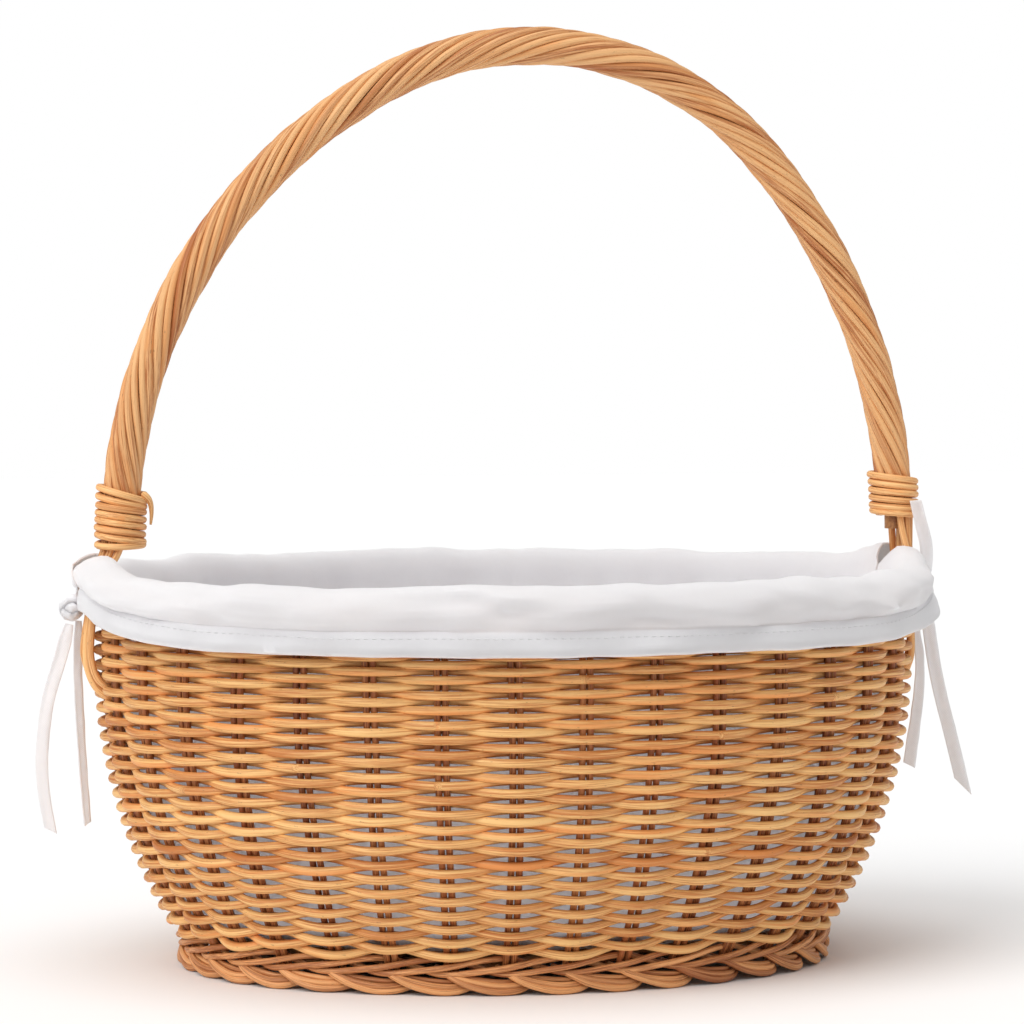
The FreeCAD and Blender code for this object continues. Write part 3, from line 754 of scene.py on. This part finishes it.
def leg_rods(side, face, plan_steps):
    """Rods from the bound foot over the rim and down the wall, tucked in at their ends."""
    rods = []
    half = 0.0 if side > 0 else PLAN_LENGTH / 2
    foot = HANDLE_SHIFT + side * HANDLE_HALF_SPAN
    for index, (spread, end, tone, bow) in enumerate(plan_steps):
        chance = random.Random(2600 + side * 10 + face * 3 + index)
        start_angle = math.radians(18 + 34 * index)
        start_ring = BUNDLE_RADIUS - 1.7 * MM
        first = np.array([foot + side * start_ring * math.cos(start_angle),
                          face * start_ring * math.sin(start_angle), FOOT_BOTTOM[side] + 5 * MM])
        distance = half + side * face * spread * MM

        def spot(offset, height, shift=0.0):
            place, outward = plan([distance + side * face * shift])
            return place[0] + outward[0] * offset + np.array([0, 0, height])

        route = [first, first - np.array([0, 0, 6 * MM]),
                 spot(3.6 * MM, RIM_TOP + 3.5 * MM), spot(2.6 * MM, RIM_TOP - 5 * MM),
                 spot((2.0 + bow) * MM, 0.147), spot((2.3 + bow) * MM, end + 0.013, 0.4 * MM),
                 spot(2.3 * MM - wall_drop(end + 0.004), end + 0.004, 1.2 * MM),
                 spot(-1.5 * MM - wall_drop(end), end, 2.0 * MM),
                 spot(-7.0 * MM - wall_drop(end - 0.004), end - 0.003, 2.6 * MM)]
        line = smooth_line(route, 44)
        rods.append((line, 1.7 * MM * chance.uniform(0.93, 1.04), tone, False))
    return rods


# ---------------------------------------------------------------- liner

CLOTH_PROFILE = [
    # offset from the wall's line and height, in millimetres, from the floor's edge
    # up the inside, over the rim and down to the hem
    (-44.5, 23.8), (-42.6, 25.2), (-40.2, 28.5), (-11.0, 155.0), (-11.0, 163.0),
    (-10.4, 169.6), (-8.2, 174.4), (-3.8, 177.0), (1.8, 176.6), (6.9, 173.4), (9.9, 168.4),
    (10.1, 163.6), (8.9, 160.6), (8.2, 159.2), (8.9, 158.4), (10.0, 156.4), (11.2, 152.8),
    (11.5, 149.4), (10.6, 148.7), (9.6, 149.6), (8.6, 154.0), (7.6, 158.2)]
SEAM_AT = 13
WALL_MAP_START = 0.3


def cloth_profile():
    """Offsets, heights and a station number for each row of the liner's cloth."""
    rows = []
    for index in range(len(CLOTH_PROFILE) - 1):
        (near, low), (far, high) = CLOTH_PROFILE[index], CLOTH_PROFILE[index + 1]
        steps = 22 if index == 2 else 2 if index < 11 else 1
        for step in range(steps):
            share = step / steps
            if index == 2:
                height = low + (high - low) * share
                middle = -LINER_OFFSET - wall_drop(height * MM) / MM
                step_in = near + LINER_OFFSET + wall_drop(low * MM) / MM
                rows.append((middle + step_in * (1 - share), height, index + share))
            else:
                before = CLOTH_PROFILE[max(index - 1, 0)]
                after = CLOTH_PROFILE[min(index + 2, len(CLOTH_PROFILE) - 1)]
                if index in (3, 4):
                    before = (near, low)
                values = []
                for axis in (0, 1):
                    p0, p1 = before[axis], CLOTH_PROFILE[index][axis]
                    p2, p3 = CLOTH_PROFILE[index + 1][axis], after[axis]
                    t = share
                    values.append(p1 + 0.5 * t * (p2 - p0 + t * (
                        2 * p0 - 5 * p1 + 4 * p2 - p3 + t * (3 * (p1 - p2) + p3 - p0))))
                rows.append((values[0], values[1], index + share))
    rows.append((*CLOTH_PROFILE[-1], len(CLOTH_PROFILE) - 1.0))
    return rows


def cloth_place(distance, offset, height, station, sizes):
    """Where one point of the cloth hangs, with its folds, gathers and slits."""
    place, outward = plan([distance])
    place, outward = place[0], outward[0]
    along = np.array([-outward[1], outward[0], 0.0])
    half = PLAN_LENGTH / 2
    to_right = (distance + half) % PLAN_LENGTH - half
    to_left = distance % PLAN_LENGTH - half
    side_gap = to_right if abs(to_right) < abs(to_left) else to_left
    near_end, wide_end = bell(side_gap, 0.030), bell(side_gap, 0.055)
    x, y = place[0], place[1]
    deep = sizes.fold_depth / MM
    over = unit((station - 4.0) / 3.0)
    inside = unit((5.5 - station) / 3.0) if station >= 2 else 0.0
    outside = unit((station - 7.5) / 2.0) * (1.0 if station < 12 else 0.5)
    # Gathers that fall from the rim inside, towards the middle only
    gather = noise.noise((x * 62, y * 62, 3.1)) + 0.6 * noise.noise((x * 130, y * 130, 9.7))
    fade = 0.35 + 0.65 * unit((height - 40) / 100)
    sway = noise.noise((x * 18, y * 18, height * 0.016))
    offset -= inside * max(1.0 + 3.0 * gather + 2.6 * sway, 0.0) * fade * deep
    # Soft scallops along the top and long slanting folds down the outside
    scallop = noise.noise((x * 24, y * 24, 1.3)) + 0.5 * noise.noise((x * 62, y * 62, 4.2))
    height += over * (1 - 0.8 * unit((station - 10.5) / 2.5)) * 2.4 * scallop * deep
    slant = height * 0.022
    fold = noise.noise((x * 21 + slant, y * 21 - slant, height * 0.080)) + 0.6 * noise.noise(
        (x * 48 - slant, y * 48, height * 0.13 + 5))
    crease = 1 - 3.2 * abs(noise.noise((x * 15 + slant * 3, y * 15 - slant, height * 0.045 + 2)))
    offset += outside * (0.2 + 5.2 * fold + 2.0 * max(crease, 0.0)) * deep
    if station > 15:
        height += noise.noise((x * 16, y * 16, 8.8))
        height += 0.5 * noise.noise((x * 60, y * 60, 2.2))
    # The cloth is lifted over the handle's feet, and the ties draw its hem up and in
    lift = over * unit((14.5 - station) / 6.0)
    height += lift * (6.0 * near_end + 1.4 * wide_end)
    if station > 9:
        drawn = min((station - 9) / 5, 1)
        calm = 1 - 0.75 * bell(side_gap, 0.040)
        offset = 9.0 + (min(max(offset, 4.0), 14.0) - 9.0) * calm - 1.0 * near_end * drawn
        rise = 11.5 if abs(to_right) < abs(to_left) else 8.0
        height += drawn * (4.0 * bell(side_gap, 0.090) + rise * wide_end)
    result = place + outward * (offset * MM)
    result[2] = height * MM
    # Slit round the handle's foot: the edges part round it and meet again at the knot
    open_share = 0.0
    if 5.5 < station < 9.6:
        open_share = max(math.sin(math.pi * (station - 5.5) / 4.3), 0.0) ** 0.7
    if station >= 9.6:
        open_share = 0.16 + 0.09 * min((station - 9.6) / 5, 1.5)
    width = 11.5 * MM * open_share
    reach = 0.045
    if abs(side_gap) < reach and width > 0:
        pushed = width + abs(side_gap) / reach * (reach - width)
        result = result + along * (math.copysign(1, side_gap) * (pushed - abs(side_gap)))
    return result


def make_cloth(sizes):
    """The whole liner: floor, wall, the turned-over flaps and their hems."""
    columns = 440
    profile = cloth_profile()
    half = columns // 2
    floor_rings = 9
    seam_row = [index for index, row in enumerate(profile) if row[2] >= 5.5][0]
    vertices, faces, uv = [], [], []
    # Distances start half a step off the ends, so that the slits fall between columns
    steps = [(column + 0.5) * PLAN_LENGTH / columns for column in range(columns)]
    run = run_along(np.array(profile)[:, :2]) * MM
    rings = [("floor", (ring + 1) / (floor_rings + 1)) for ring in range(floor_rings)]
    rings += [("wall", row) for row in profile]
    layout = []
    for number, (kind, row) in enumerate(rings):
        for distance in steps:
            if kind == "floor":
                place, outward = plan([distance])
                edge = place[0] + outward[0] * CLOTH_PROFILE[0][0] * MM
                point = np.array([edge[0] * row, edge[1] * row, 0.0])
                ruck = 0.55 * noise.noise((point[0] * 30, point[1] * 30, 6.0))
                point[2] = (LINER_FLOOR + (0.9 + ruck) * min(1, (1 - row) * 4)) * MM
                layout.append((point[0], point[1]))
            else:
                offset, height, station = row
                point = cloth_place(distance, offset, height, station, sizes)
                layout.append((distance, WALL_MAP_START + run[number - floor_rings]))
            vertices.append(point)
    vertices.append(np.array([0, 0, 24.3 * MM]))
    layout.append((0.0, 0.0))
    pole = len(vertices) - 1
    slits = {columns - 1, half - 1}
    for column in range(columns):
        after = (column + 1) % columns
        faces.append((pole, column, after))
        for ring in range(len(rings) - 1):
            if column in slits and ring - floor_rings >= seam_row - 1:
                continue
            low, high = ring * columns, (ring + 1) * columns
            faces.append((low + column, high + column, high + after, low + after))
    mesh = bpy.data.meshes.new("liner_cloth")
    mesh.from_pydata([tuple(v) for v in vertices], [], faces)
    layer = mesh.uv_layers.new(name="UVMap")
    corner = np.empty(len(mesh.loops), int)
    mesh.loops.foreach_get("vertex_index", corner)
    values = np.array(layout)[corner]
    # The map is cut where the cloth closes on itself
    starts = np.empty(len(mesh.polygons), int)
    totals = np.empty(len(mesh.polygons), int)
    mesh.polygons.foreach_get("loop_start", starts)
    mesh.polygons.foreach_get("loop_total", totals)
    for start, total in zip(starts, totals):
        part = values[start:start + total]
        on_the_wall = part[:, 1].min() >= WALL_MAP_START
        if on_the_wall and part[:, 0].max() - part[:, 0].min() > PLAN_LENGTH / 2:
            part[part[:, 0] < PLAN_LENGTH / 2, 0] += PLAN_LENGTH
    layer.data.foreach_set("uv", values.ravel())
    piece = bpy.data.objects.new("liner_cloth", mesh)
    bpy.context.scene.collection.objects.link(piece)
    only(piece)
    bpy.ops.object.mode_set(mode="EDIT")
    bpy.ops.mesh.select_all(action="SELECT")
    bpy.ops.mesh.normals_make_consistent(inside=False)
    bpy.ops.object.mode_set(mode="OBJECT")
    apply_modifier(piece, "cloth thickness", "SOLIDIFY",
                   thickness=sizes.cloth_thickness, offset=0.0)
    bpy.ops.object.shade_smooth_by_angle(angle=math.radians(75))
    finish_piece(piece, "cotton_cloth", finishes()["liner_cotton"],
                 "liner_wall", "liner_floor", "liner_cuff_front", "liner_cuff_back",
                 "cuff_hem_front", "cuff_hem_back")
    return piece


def make_stitches(sizes):
    """Running stitches that hold the hem, along both flaps."""
    profile = cloth_profile()
    rows = [row for row in profile if row[2] == SEAM_AT + 2]
    offset, height, station = rows[0]
    rods = []
    pitch = 3.4 * MM
    count = int(PLAN_LENGTH / pitch)
    for index in range(count):
        middle = (index + 0.5) * PLAN_LENGTH / count
        places = []
        for share, sunk in ((-0.34, 0.55), (-0.2, -0.02), (0.2, -0.02), (0.34, 0.55)):
            distance = middle + share * pitch
            places.append(cloth_place(distance, offset + 0.55 - sunk, height, station, sizes))
        rods.append((np.array(places), 0.19 * MM, 0.5, False))
    piece = make_rods("hem_stitches", rods, 0)
    finish_piece(piece, "cotton_hem", finishes()["tie_cotton"])
    return piece


# ---------------------------------------------------------------- ties

def make_tape(name, node_name):
    """A flat cotton tape along its own spline, with turned edges and a cut end."""
    width, _, twist, cut, route = TIES[node_name]
    line = smooth_line([np.array(place) * MM for place in route])
    length = run_along(line)[-1]
    count = int(length / (1.3 * MM))
    centre = spread(line, count)
    direction = np.gradient(centre, axis=0)
    direction /= np.linalg.norm(direction, axis=1)[:, None]
    across_steps = 9
    bpy.ops.mesh.primitive_grid_add(x_subdivisions=across_steps - 1, y_subdivisions=count - 1,
                                    size=1.0, location=(0, 0, 0))
    piece = bpy.context.view_layer.objects.active
    piece.name = name
    piece.data.name = name
    mesh = piece.data
    grid = np.empty(len(mesh.vertices) * 3)
    mesh.vertices.foreach_get("co", grid)
    grid = grid.reshape(-1, 3)
    out = np.empty_like(grid)
    seed = sum(map(ord, name)) % 97
    for index, (a, b, _) in enumerate(grid):
        row = int(round((b + 0.5) * (count - 1)))
        share = row / (count - 1)
        forward = direction[row]
        turn = math.radians(twist[0] + (twist[1] - twist[0]) * share)
        flat = np.array([math.cos(turn), math.sin(turn), 0.0])
        flat = flat - forward * flat.dot(forward)
        flat /= np.linalg.norm(flat)
        facing = np.cross(forward, flat)
        half_width = width / 2 * min(1.0, 0.62 + share * 5.0)
        reach = 2 * a
        curl = 0.55 * MM * (reach ** 2 - 0.3) * math.sin(share * 7 + seed)
        ripple = 0.5 * MM * noise.noise((share * 9, a * 2, seed))
        out[index] = (centre[row] + flat * (reach * half_width)
                      + facing * (curl + ripple + 0.35 * MM * math.sin(reach * 3)))
        if share > 0.9:
            out[index] += forward * (cut * reach * (share - 0.9) * 10 * width / 2)
    mesh.vertices.foreach_set("co", out.ravel())
    layer = mesh.uv_layers[0]
    layer.name = "UVMap"
    values = np.empty(len(mesh.loops) * 2)
    layer.data.foreach_get("uv", values)
    values[0::2] *= width
    values[1::2] *= length
    layer.data.foreach_set("uv", values)
    only(piece)
    apply_modifier(piece, "tape thickness", "SOLIDIFY", thickness=0.7 * MM, offset=0.0)
    apply_modifier(piece, "turned edges", "BEVEL", width=0.2 * MM, segments=2,
                   limit_method="ANGLE")
    bpy.ops.object.shade_smooth_by_angle(angle=math.radians(60))
    finish_piece(piece, "tie_tape", finishes()["tie_cotton"], node_name)
    return piece, line


def make_knot(side, side_name):
    """An overhand knot of tape: a wrapped lump, a crossing band and a short loop."""
    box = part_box("tie_knot_" + side_name)
    centre = (box[0] + box[1]) / 2
    deselect()
    bpy.ops.mesh.primitive_uv_sphere_add(segments=32, ring_count=20, radius=5.6 * MM,
                                         location=(0, 0, 0))
    lump = bpy.context.view_layer.objects.active
    lump.name = "tie_knot_lump_" + side_name
    bpy.ops.object.mode_set(mode="EDIT")
    bpy.ops.mesh.select_all(action="SELECT")
    bpy.ops.transform.resize(value=(0.78, 0.95, 0.9))
    bpy.ops.object.mode_set(mode="OBJECT")
    for vertex in lump.data.vertices:
        place = vertex.co / MM
        pleat = noise.noise((place.x * 0.22, place.y * 0.9 + place.z * 0.5, side * 3.0))
        vertex.co *= 1 + 0.16 * pleat + 0.05 * math.sin(place.y * 2.6 + place.z * 1.4)
        vertex.co += centre
    parts = [lump]
    for tilt, big, small in ((35, 5.2, 1.7), (-48, 4.9, 1.5)):
        deselect()
        bpy.ops.mesh.primitive_torus_add(
            major_radius=big * MM, minor_radius=small * MM, major_segments=36,
            minor_segments=12, location=(0, 0, 0), generate_uvs=True)
        band = bpy.context.view_layer.objects.active
        angle = math.radians(90 + tilt)
        for vertex in band.data.vertices:
            place = vertex.co.copy()
            place.z *= 1.25
            place = Vector((place.x * 0.82, place.y * math.cos(angle) - place.z * math.sin(angle),
                            place.y * math.sin(angle) + place.z * math.cos(angle)))
            wrinkle = noise.noise((place.x / MM * 0.5, place.y / MM * 0.5, place.z / MM * 0.5))
            vertex.co = place * (1 + 0.07 * wrinkle) + centre
        parts.append(band)
    only(lump)
    for part in parts:
        part.select_set(True)
    bpy.ops.object.join()
    piece = bpy.context.view_layer.objects.active
    piece.name = "knot_" + side_name
    piece.data.name = piece.name
    layer = piece.data.uv_layers[0]
    layer.name = "UVMap"
    values = np.empty(len(piece.data.loops) * 2)
    layer.data.foreach_get("uv", values)
    layer.data.foreach_set("uv", values * 0.03)
    bpy.ops.object.shade_smooth_by_angle(angle=math.radians(70))
    finish_piece(piece, "tie_tape", finishes()["tie_cotton"], "tie_knot_" + side_name)
    return piece


# ---------------------------------------------------------------- settings

def length_property(name, description, default, least, most):
    """A length given in millimetres and kept in metres."""
    return bpy.props.FloatProperty(
        name=name, description=description, default=default * MM, min=least * MM,
        max=most * MM, unit="LENGTH", precision=4)


class BasketSizes(bpy.types.PropertyGroup):
    """Sizes of the basket's rods and cloth"""
    weaver_thickness: length_property(
        "Weaver", "Thickness of the cane that is woven round the wall", 3.55, 2, 4)
    stake_thickness: length_property("Stake", "Thickness of each upright rod", 3.0, 2, 4)
    strand_thickness: length_property(
        "Handle Strand", "Thickness of the strands laid round the handle", 3.6, 2, 5)
    cloth_thickness: length_property("Cloth", "Thickness of the liner's cotton", 0.8, 0.3, 2)
    fold_depth: length_property(
        "Fold Depth", "How deep the liner's folds and gathers are", 1.0, 0, 2)


def colour_property(name, description, default):
    """A colour that can be picked."""
    return bpy.props.FloatVectorProperty(
        name=name, description=description, default=default, subtype="COLOR", min=0, max=1)


class BasketColours(bpy.types.PropertyGroup):
    """Colours of the basket's cane and cloth"""
    weaver_pale: colour_property("Weaver Pale", "Palest cane of the side weave",
                                 srgb(247, 197, 127))
    weaver_deep: colour_property("Weaver Deep", "Deepest cane of the side weave",
                                 srgb(196, 120, 58))
    weaver_warm: colour_property("Weaver Warm", "Warm patches on the side weave",
                                 srgb(238, 152, 80))
    stake_pale: colour_property("Stake Pale", "Palest fibres of the stakes", srgb(205, 136, 80))
    stake_deep: colour_property("Stake Deep", "Darkest fibres of the stakes", srgb(128, 66, 30))
    foot_pale: colour_property("Foot Pale", "Palest cane of the foot", srgb(240, 174, 112))
    foot_deep: colour_property("Foot Deep", "Darkest cane of the foot", srgb(162, 94, 50))
    handle_pale: colour_property("Handle Pale", "Palest strand of the handle",
                                 srgb(234, 180, 122))
    handle_deep: colour_property("Handle Deep", "Darkest strand of the handle",
                                 srgb(176, 102, 50))
    cotton: colour_property("Cotton", "The liner's cotton", srgb(253, 251, 253))
    cotton_shade: colour_property("Cotton Shade", "The cotton between its threads",
                                  srgb(245, 242, 246))


# ---------------------------------------------------------------- operators

class BASKET_OT_camera(bpy.types.Operator):
    """Make the camera, low in front and a little to the left"""
    bl_idname = "basket.camera"
    bl_label = "Camera"

    def execute(self, context):
        yaw, pitch, away, height = 0.2, 0.0446, 1.8, 0.282
        data = bpy.data.cameras.new("camera")
        data.lens = 140.2
        data.sensor_width = 36.0
        camera = bpy.data.objects.new("camera", data)
        context.scene.collection.objects.link(camera)
        aside = 3.1 * MM
        camera.location = (-away * math.sin(yaw) + aside * math.cos(yaw),
                           -away * math.cos(yaw) - aside * math.sin(yaw), height)
        towards = Vector((math.sin(yaw) * math.cos(pitch), math.cos(yaw) * math.cos(pitch),
                          -math.sin(pitch)))
        camera.rotation_euler = towards.to_track_quat("-Z", "Y").to_euler()
        context.scene.camera = camera
        return {"FINISHED"}


class BASKET_OT_ties(bpy.types.Operator):
    """Make the tape ties and their knots at both ends"""
    bl_idname = "basket.ties"
    bl_label = "Ties"

    def execute(self, context):
        knots = {side_name: make_knot(side, side_name)
                 for side, side_name in ((-1, "left"), (1, "right"))}
        for name, (width, length, *_) in TIES.items():
            piece, line = make_tape(name.replace("tie_tail", "tape"), name)
        return {"FINISHED"}


class BASKET_OT_side_weave(bpy.types.Operator):
    """Weave the rows round the wall, in bands"""
    bl_idname = "basket.side_weave"
    bl_label = "Side Weave"

    def execute(self, context):
        for band in range(math.ceil(ROW_COUNT / ROWS_PER_BAND)):
            make_weave_band(band, context.scene.basket_sizes)
        return {"FINISHED"}


class BASKET_OT_stakes(bpy.types.Operator):
    """Set the pairs of upright rods"""
    bl_idname = "basket.stakes"
    bl_label = "Stakes"

    def execute(self, context):
        for side in ("right", "back", "left", "front"):
            rods = []
            for index in range(STAKE_COUNT):
                if stake_side(index) == side:
                    rods += stake_rods(index, context.scene.basket_sizes)
            add_rods("stakes_" + side, rods, "willow_stake", "stake_cane", "side_stakes_" + side)
        return {"FINISHED"}


class BASKET_OT_waling(bpy.types.Operator):
    """Twist the wale round the bottom of the wall"""
    bl_idname = "basket.waling"
    bl_label = "Waling"

    def execute(self, context):
        add_rods("waling", [waling_line(strand) for strand in range(3)], "willow_weave",
                 "foot_cane", "waling_row_1")
        return {"FINISHED"}


class BASKET_OT_foot(bpy.types.Operator):
    """Plait the foot border that the basket stands on"""
    bl_idname = "basket.foot"
    bl_label = "Foot"

    def execute(self, context):
        add_rods("foot_plait", foot_rods(), "willow_foot", "foot_cane", "foot_border")
        return {"FINISHED"}


class BASKET_OT_handle(bpy.types.Operator):
    """Lay the handle's strands, its bindings and its legs"""
    bl_idname = "basket.handle"
    bl_label = "Handle"

    def execute(self, context):
        add_rods("handle_rope", handle_rods(context.scene.basket_sizes), "willow_handle",
                 "handle_cane", "handle_strands", 3)
        for side, side_name, turns, tail in (
                (-1, "left", 8.1, [(2.6, -0.6, -2.0), (3.9, 0.6, -8.0), (3.2, 1.2, -13.5)]),
                (1, "right", 5.9, [(-2.5, 2.0, -1.0), (-4.0, 4.0, -2.0), (-4.5, 5.0, -3.0)])):
            add_rods("binding_" + side_name, [binding_rod(side, turns, tail)],
                     "willow_handle", "binding_cane", "handle_binding_" + side_name, 3)
        reaches = {
            (-1, -1): [(2.6, 0.126, 0.5, 3.6), (6.6, 0.123, 0.3, 3.0), (12.0, 0.127, 0.45, 2.0)],
            (-1, 1): [(4.0, 0.128, 0.5, 1.0), (8.5, 0.125, 0.4, 0.6), (13.5, 0.129, 0.6, 0.4)],
            (1, -1): [(4.5, 0.127, 0.4, 2.2), (9.0, 0.125, 0.6, 1.2), (13.8, 0.128, 0.35, 0.6)],
            (1, 1): [(5.0, 0.127, 0.5, 0.8), (9.5, 0.125, 0.4, 0.5), (14.0, 0.128, 0.5, 0.3)]}
        for (side, face), steps in reaches.items():
            name = "%s_%s" % ("left" if side < 0 else "right", "front" if face < 0 else "back")
            add_rods("leg_" + name, leg_rods(side, face, steps), "willow_handle",
                     "binding_cane", "handle_leg_" + name)
        return {"FINISHED"}


class BASKET_OT_liner(bpy.types.Operator):
    """Hang the cotton liner and stitch its hem"""
    bl_idname = "basket.liner"
    bl_label = "Liner"

    def execute(self, context):
        sizes = context.scene.basket_sizes
        cloth = make_cloth(sizes)
        stitches = make_stitches(sizes)
        return {"FINISHED"}


class BASKET_OT_base(bpy.types.Operator):
    """Give the frame's own base, rim and handle core their cane"""
    bl_idname = "basket.base"
    bl_label = "Base, Rim and Core"

    def execute(self, context):
        cane = finishes()["hidden_cane"]
        for name in ("base_sticks_long", "base_sticks_short", "base_weave", "rim_border",
                     "handle_core"):
            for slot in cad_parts[name].material_slots:
                slot.material = cane
        return {"FINISHED"}


class BASKET_OT_stage(bpy.types.Operator):
    """Set the pale floor, the two soft suns and the sky"""
    bl_idname = "basket.stage"
    bl_label = "Stage"

    def execute(self, context):
        deselect()
        bpy.ops.mesh.primitive_plane_add(size=12, location=(0, 0, 0))
        floor = context.view_layer.objects.active
        floor.name = "floor"
        paper, tree, shader = new_material("white_paper")
        place = tree.nodes.new("ShaderNodeTexCoord").outputs["Object"]
        tree.links.new(blend_colour(tree, noise_value(tree, place, 3.0), (0.93, 0.93, 0.93),
                                    (0.95, 0.95, 0.95)), shader.inputs["Base Color"])
        shader.inputs["Roughness"].default_value = 0.9
        floor.data.materials.append(paper)
        for name, place, softness, strength in (
                ("key", (-1.6, -1.1, 1.6), 45, 1.6), ("top", (-0.1, -0.25, 2.0), 40, 0.95)):
            data = bpy.data.lights.new(name, "SUN")
            data.angle = math.radians(softness)
            data.energy = strength
            light = bpy.data.objects.new(name, data)
            light.location = place
            light.rotation_euler = Vector(place).to_track_quat("Z", "Y").to_euler()
            context.scene.collection.objects.link(light)
        world = context.scene.world or bpy.data.worlds.new("sky")
        context.scene.world = world
        world.use_nodes = True
        sky = world.node_tree.nodes["Background"]
        sky.inputs["Color"].default_value = (1.0, 1.0, 1.0, 1.0)
        # The sky is seen brighter than it lights the basket
        seen = world.node_tree.nodes.new("ShaderNodeLightPath").outputs["Is Camera Ray"]
        world.node_tree.links.new(maths(world.node_tree, "MULTIPLY_ADD", seen, 0.50, 0.50),
                                  sky.inputs["Strength"])
        context.scene.view_settings.view_transform = "Standard"
        return {"FINISHED"}


class BASKET_PT_pieces(bpy.types.Panel):
    """The basket's pieces, sizes and colours"""
    bl_idname = "BASKET_PT_pieces"
    bl_label = "Lined Cane Basket"
    bl_space_type = "VIEW_3D"
    bl_region_type = "UI"
    bl_category = "Basket"

    def draw(self, context):
        for title, group in (("Sizes", context.scene.basket_sizes),
                             ("Colours", context.scene.basket_colours)):
            box = self.layout.box()
            box.label(text=title)
            for name in group.__annotations__:
                box.prop(group, name)
        for operator in OPERATORS:
            self.layout.operator(operator.bl_idname)


OPERATORS = (BASKET_OT_camera, BASKET_OT_ties, BASKET_OT_side_weave, BASKET_OT_stakes,
             BASKET_OT_waling, BASKET_OT_foot, BASKET_OT_handle, BASKET_OT_liner,
             BASKET_OT_base, BASKET_OT_stage)
CLASSES = (BasketSizes, BasketColours, *OPERATORS, BASKET_PT_pieces)


def register():
    for cls in CLASSES:
        bpy.utils.register_class(cls)
    bpy.types.Scene.basket_sizes = bpy.props.PointerProperty(type=BasketSizes)
    bpy.types.Scene.basket_colours = bpy.props.PointerProperty(type=BasketColours)


def unregister():
    del bpy.types.Scene.basket_colours
    del bpy.types.Scene.basket_sizes
    for cls in reversed(CLASSES):
        bpy.utils.unregister_class(cls)


def main():
    register()
    for operator in OPERATORS:
        family, action = operator.bl_idname.split(".")
        getattr(getattr(bpy.ops, family), action)()


if __name__ == "__main__":
    main()
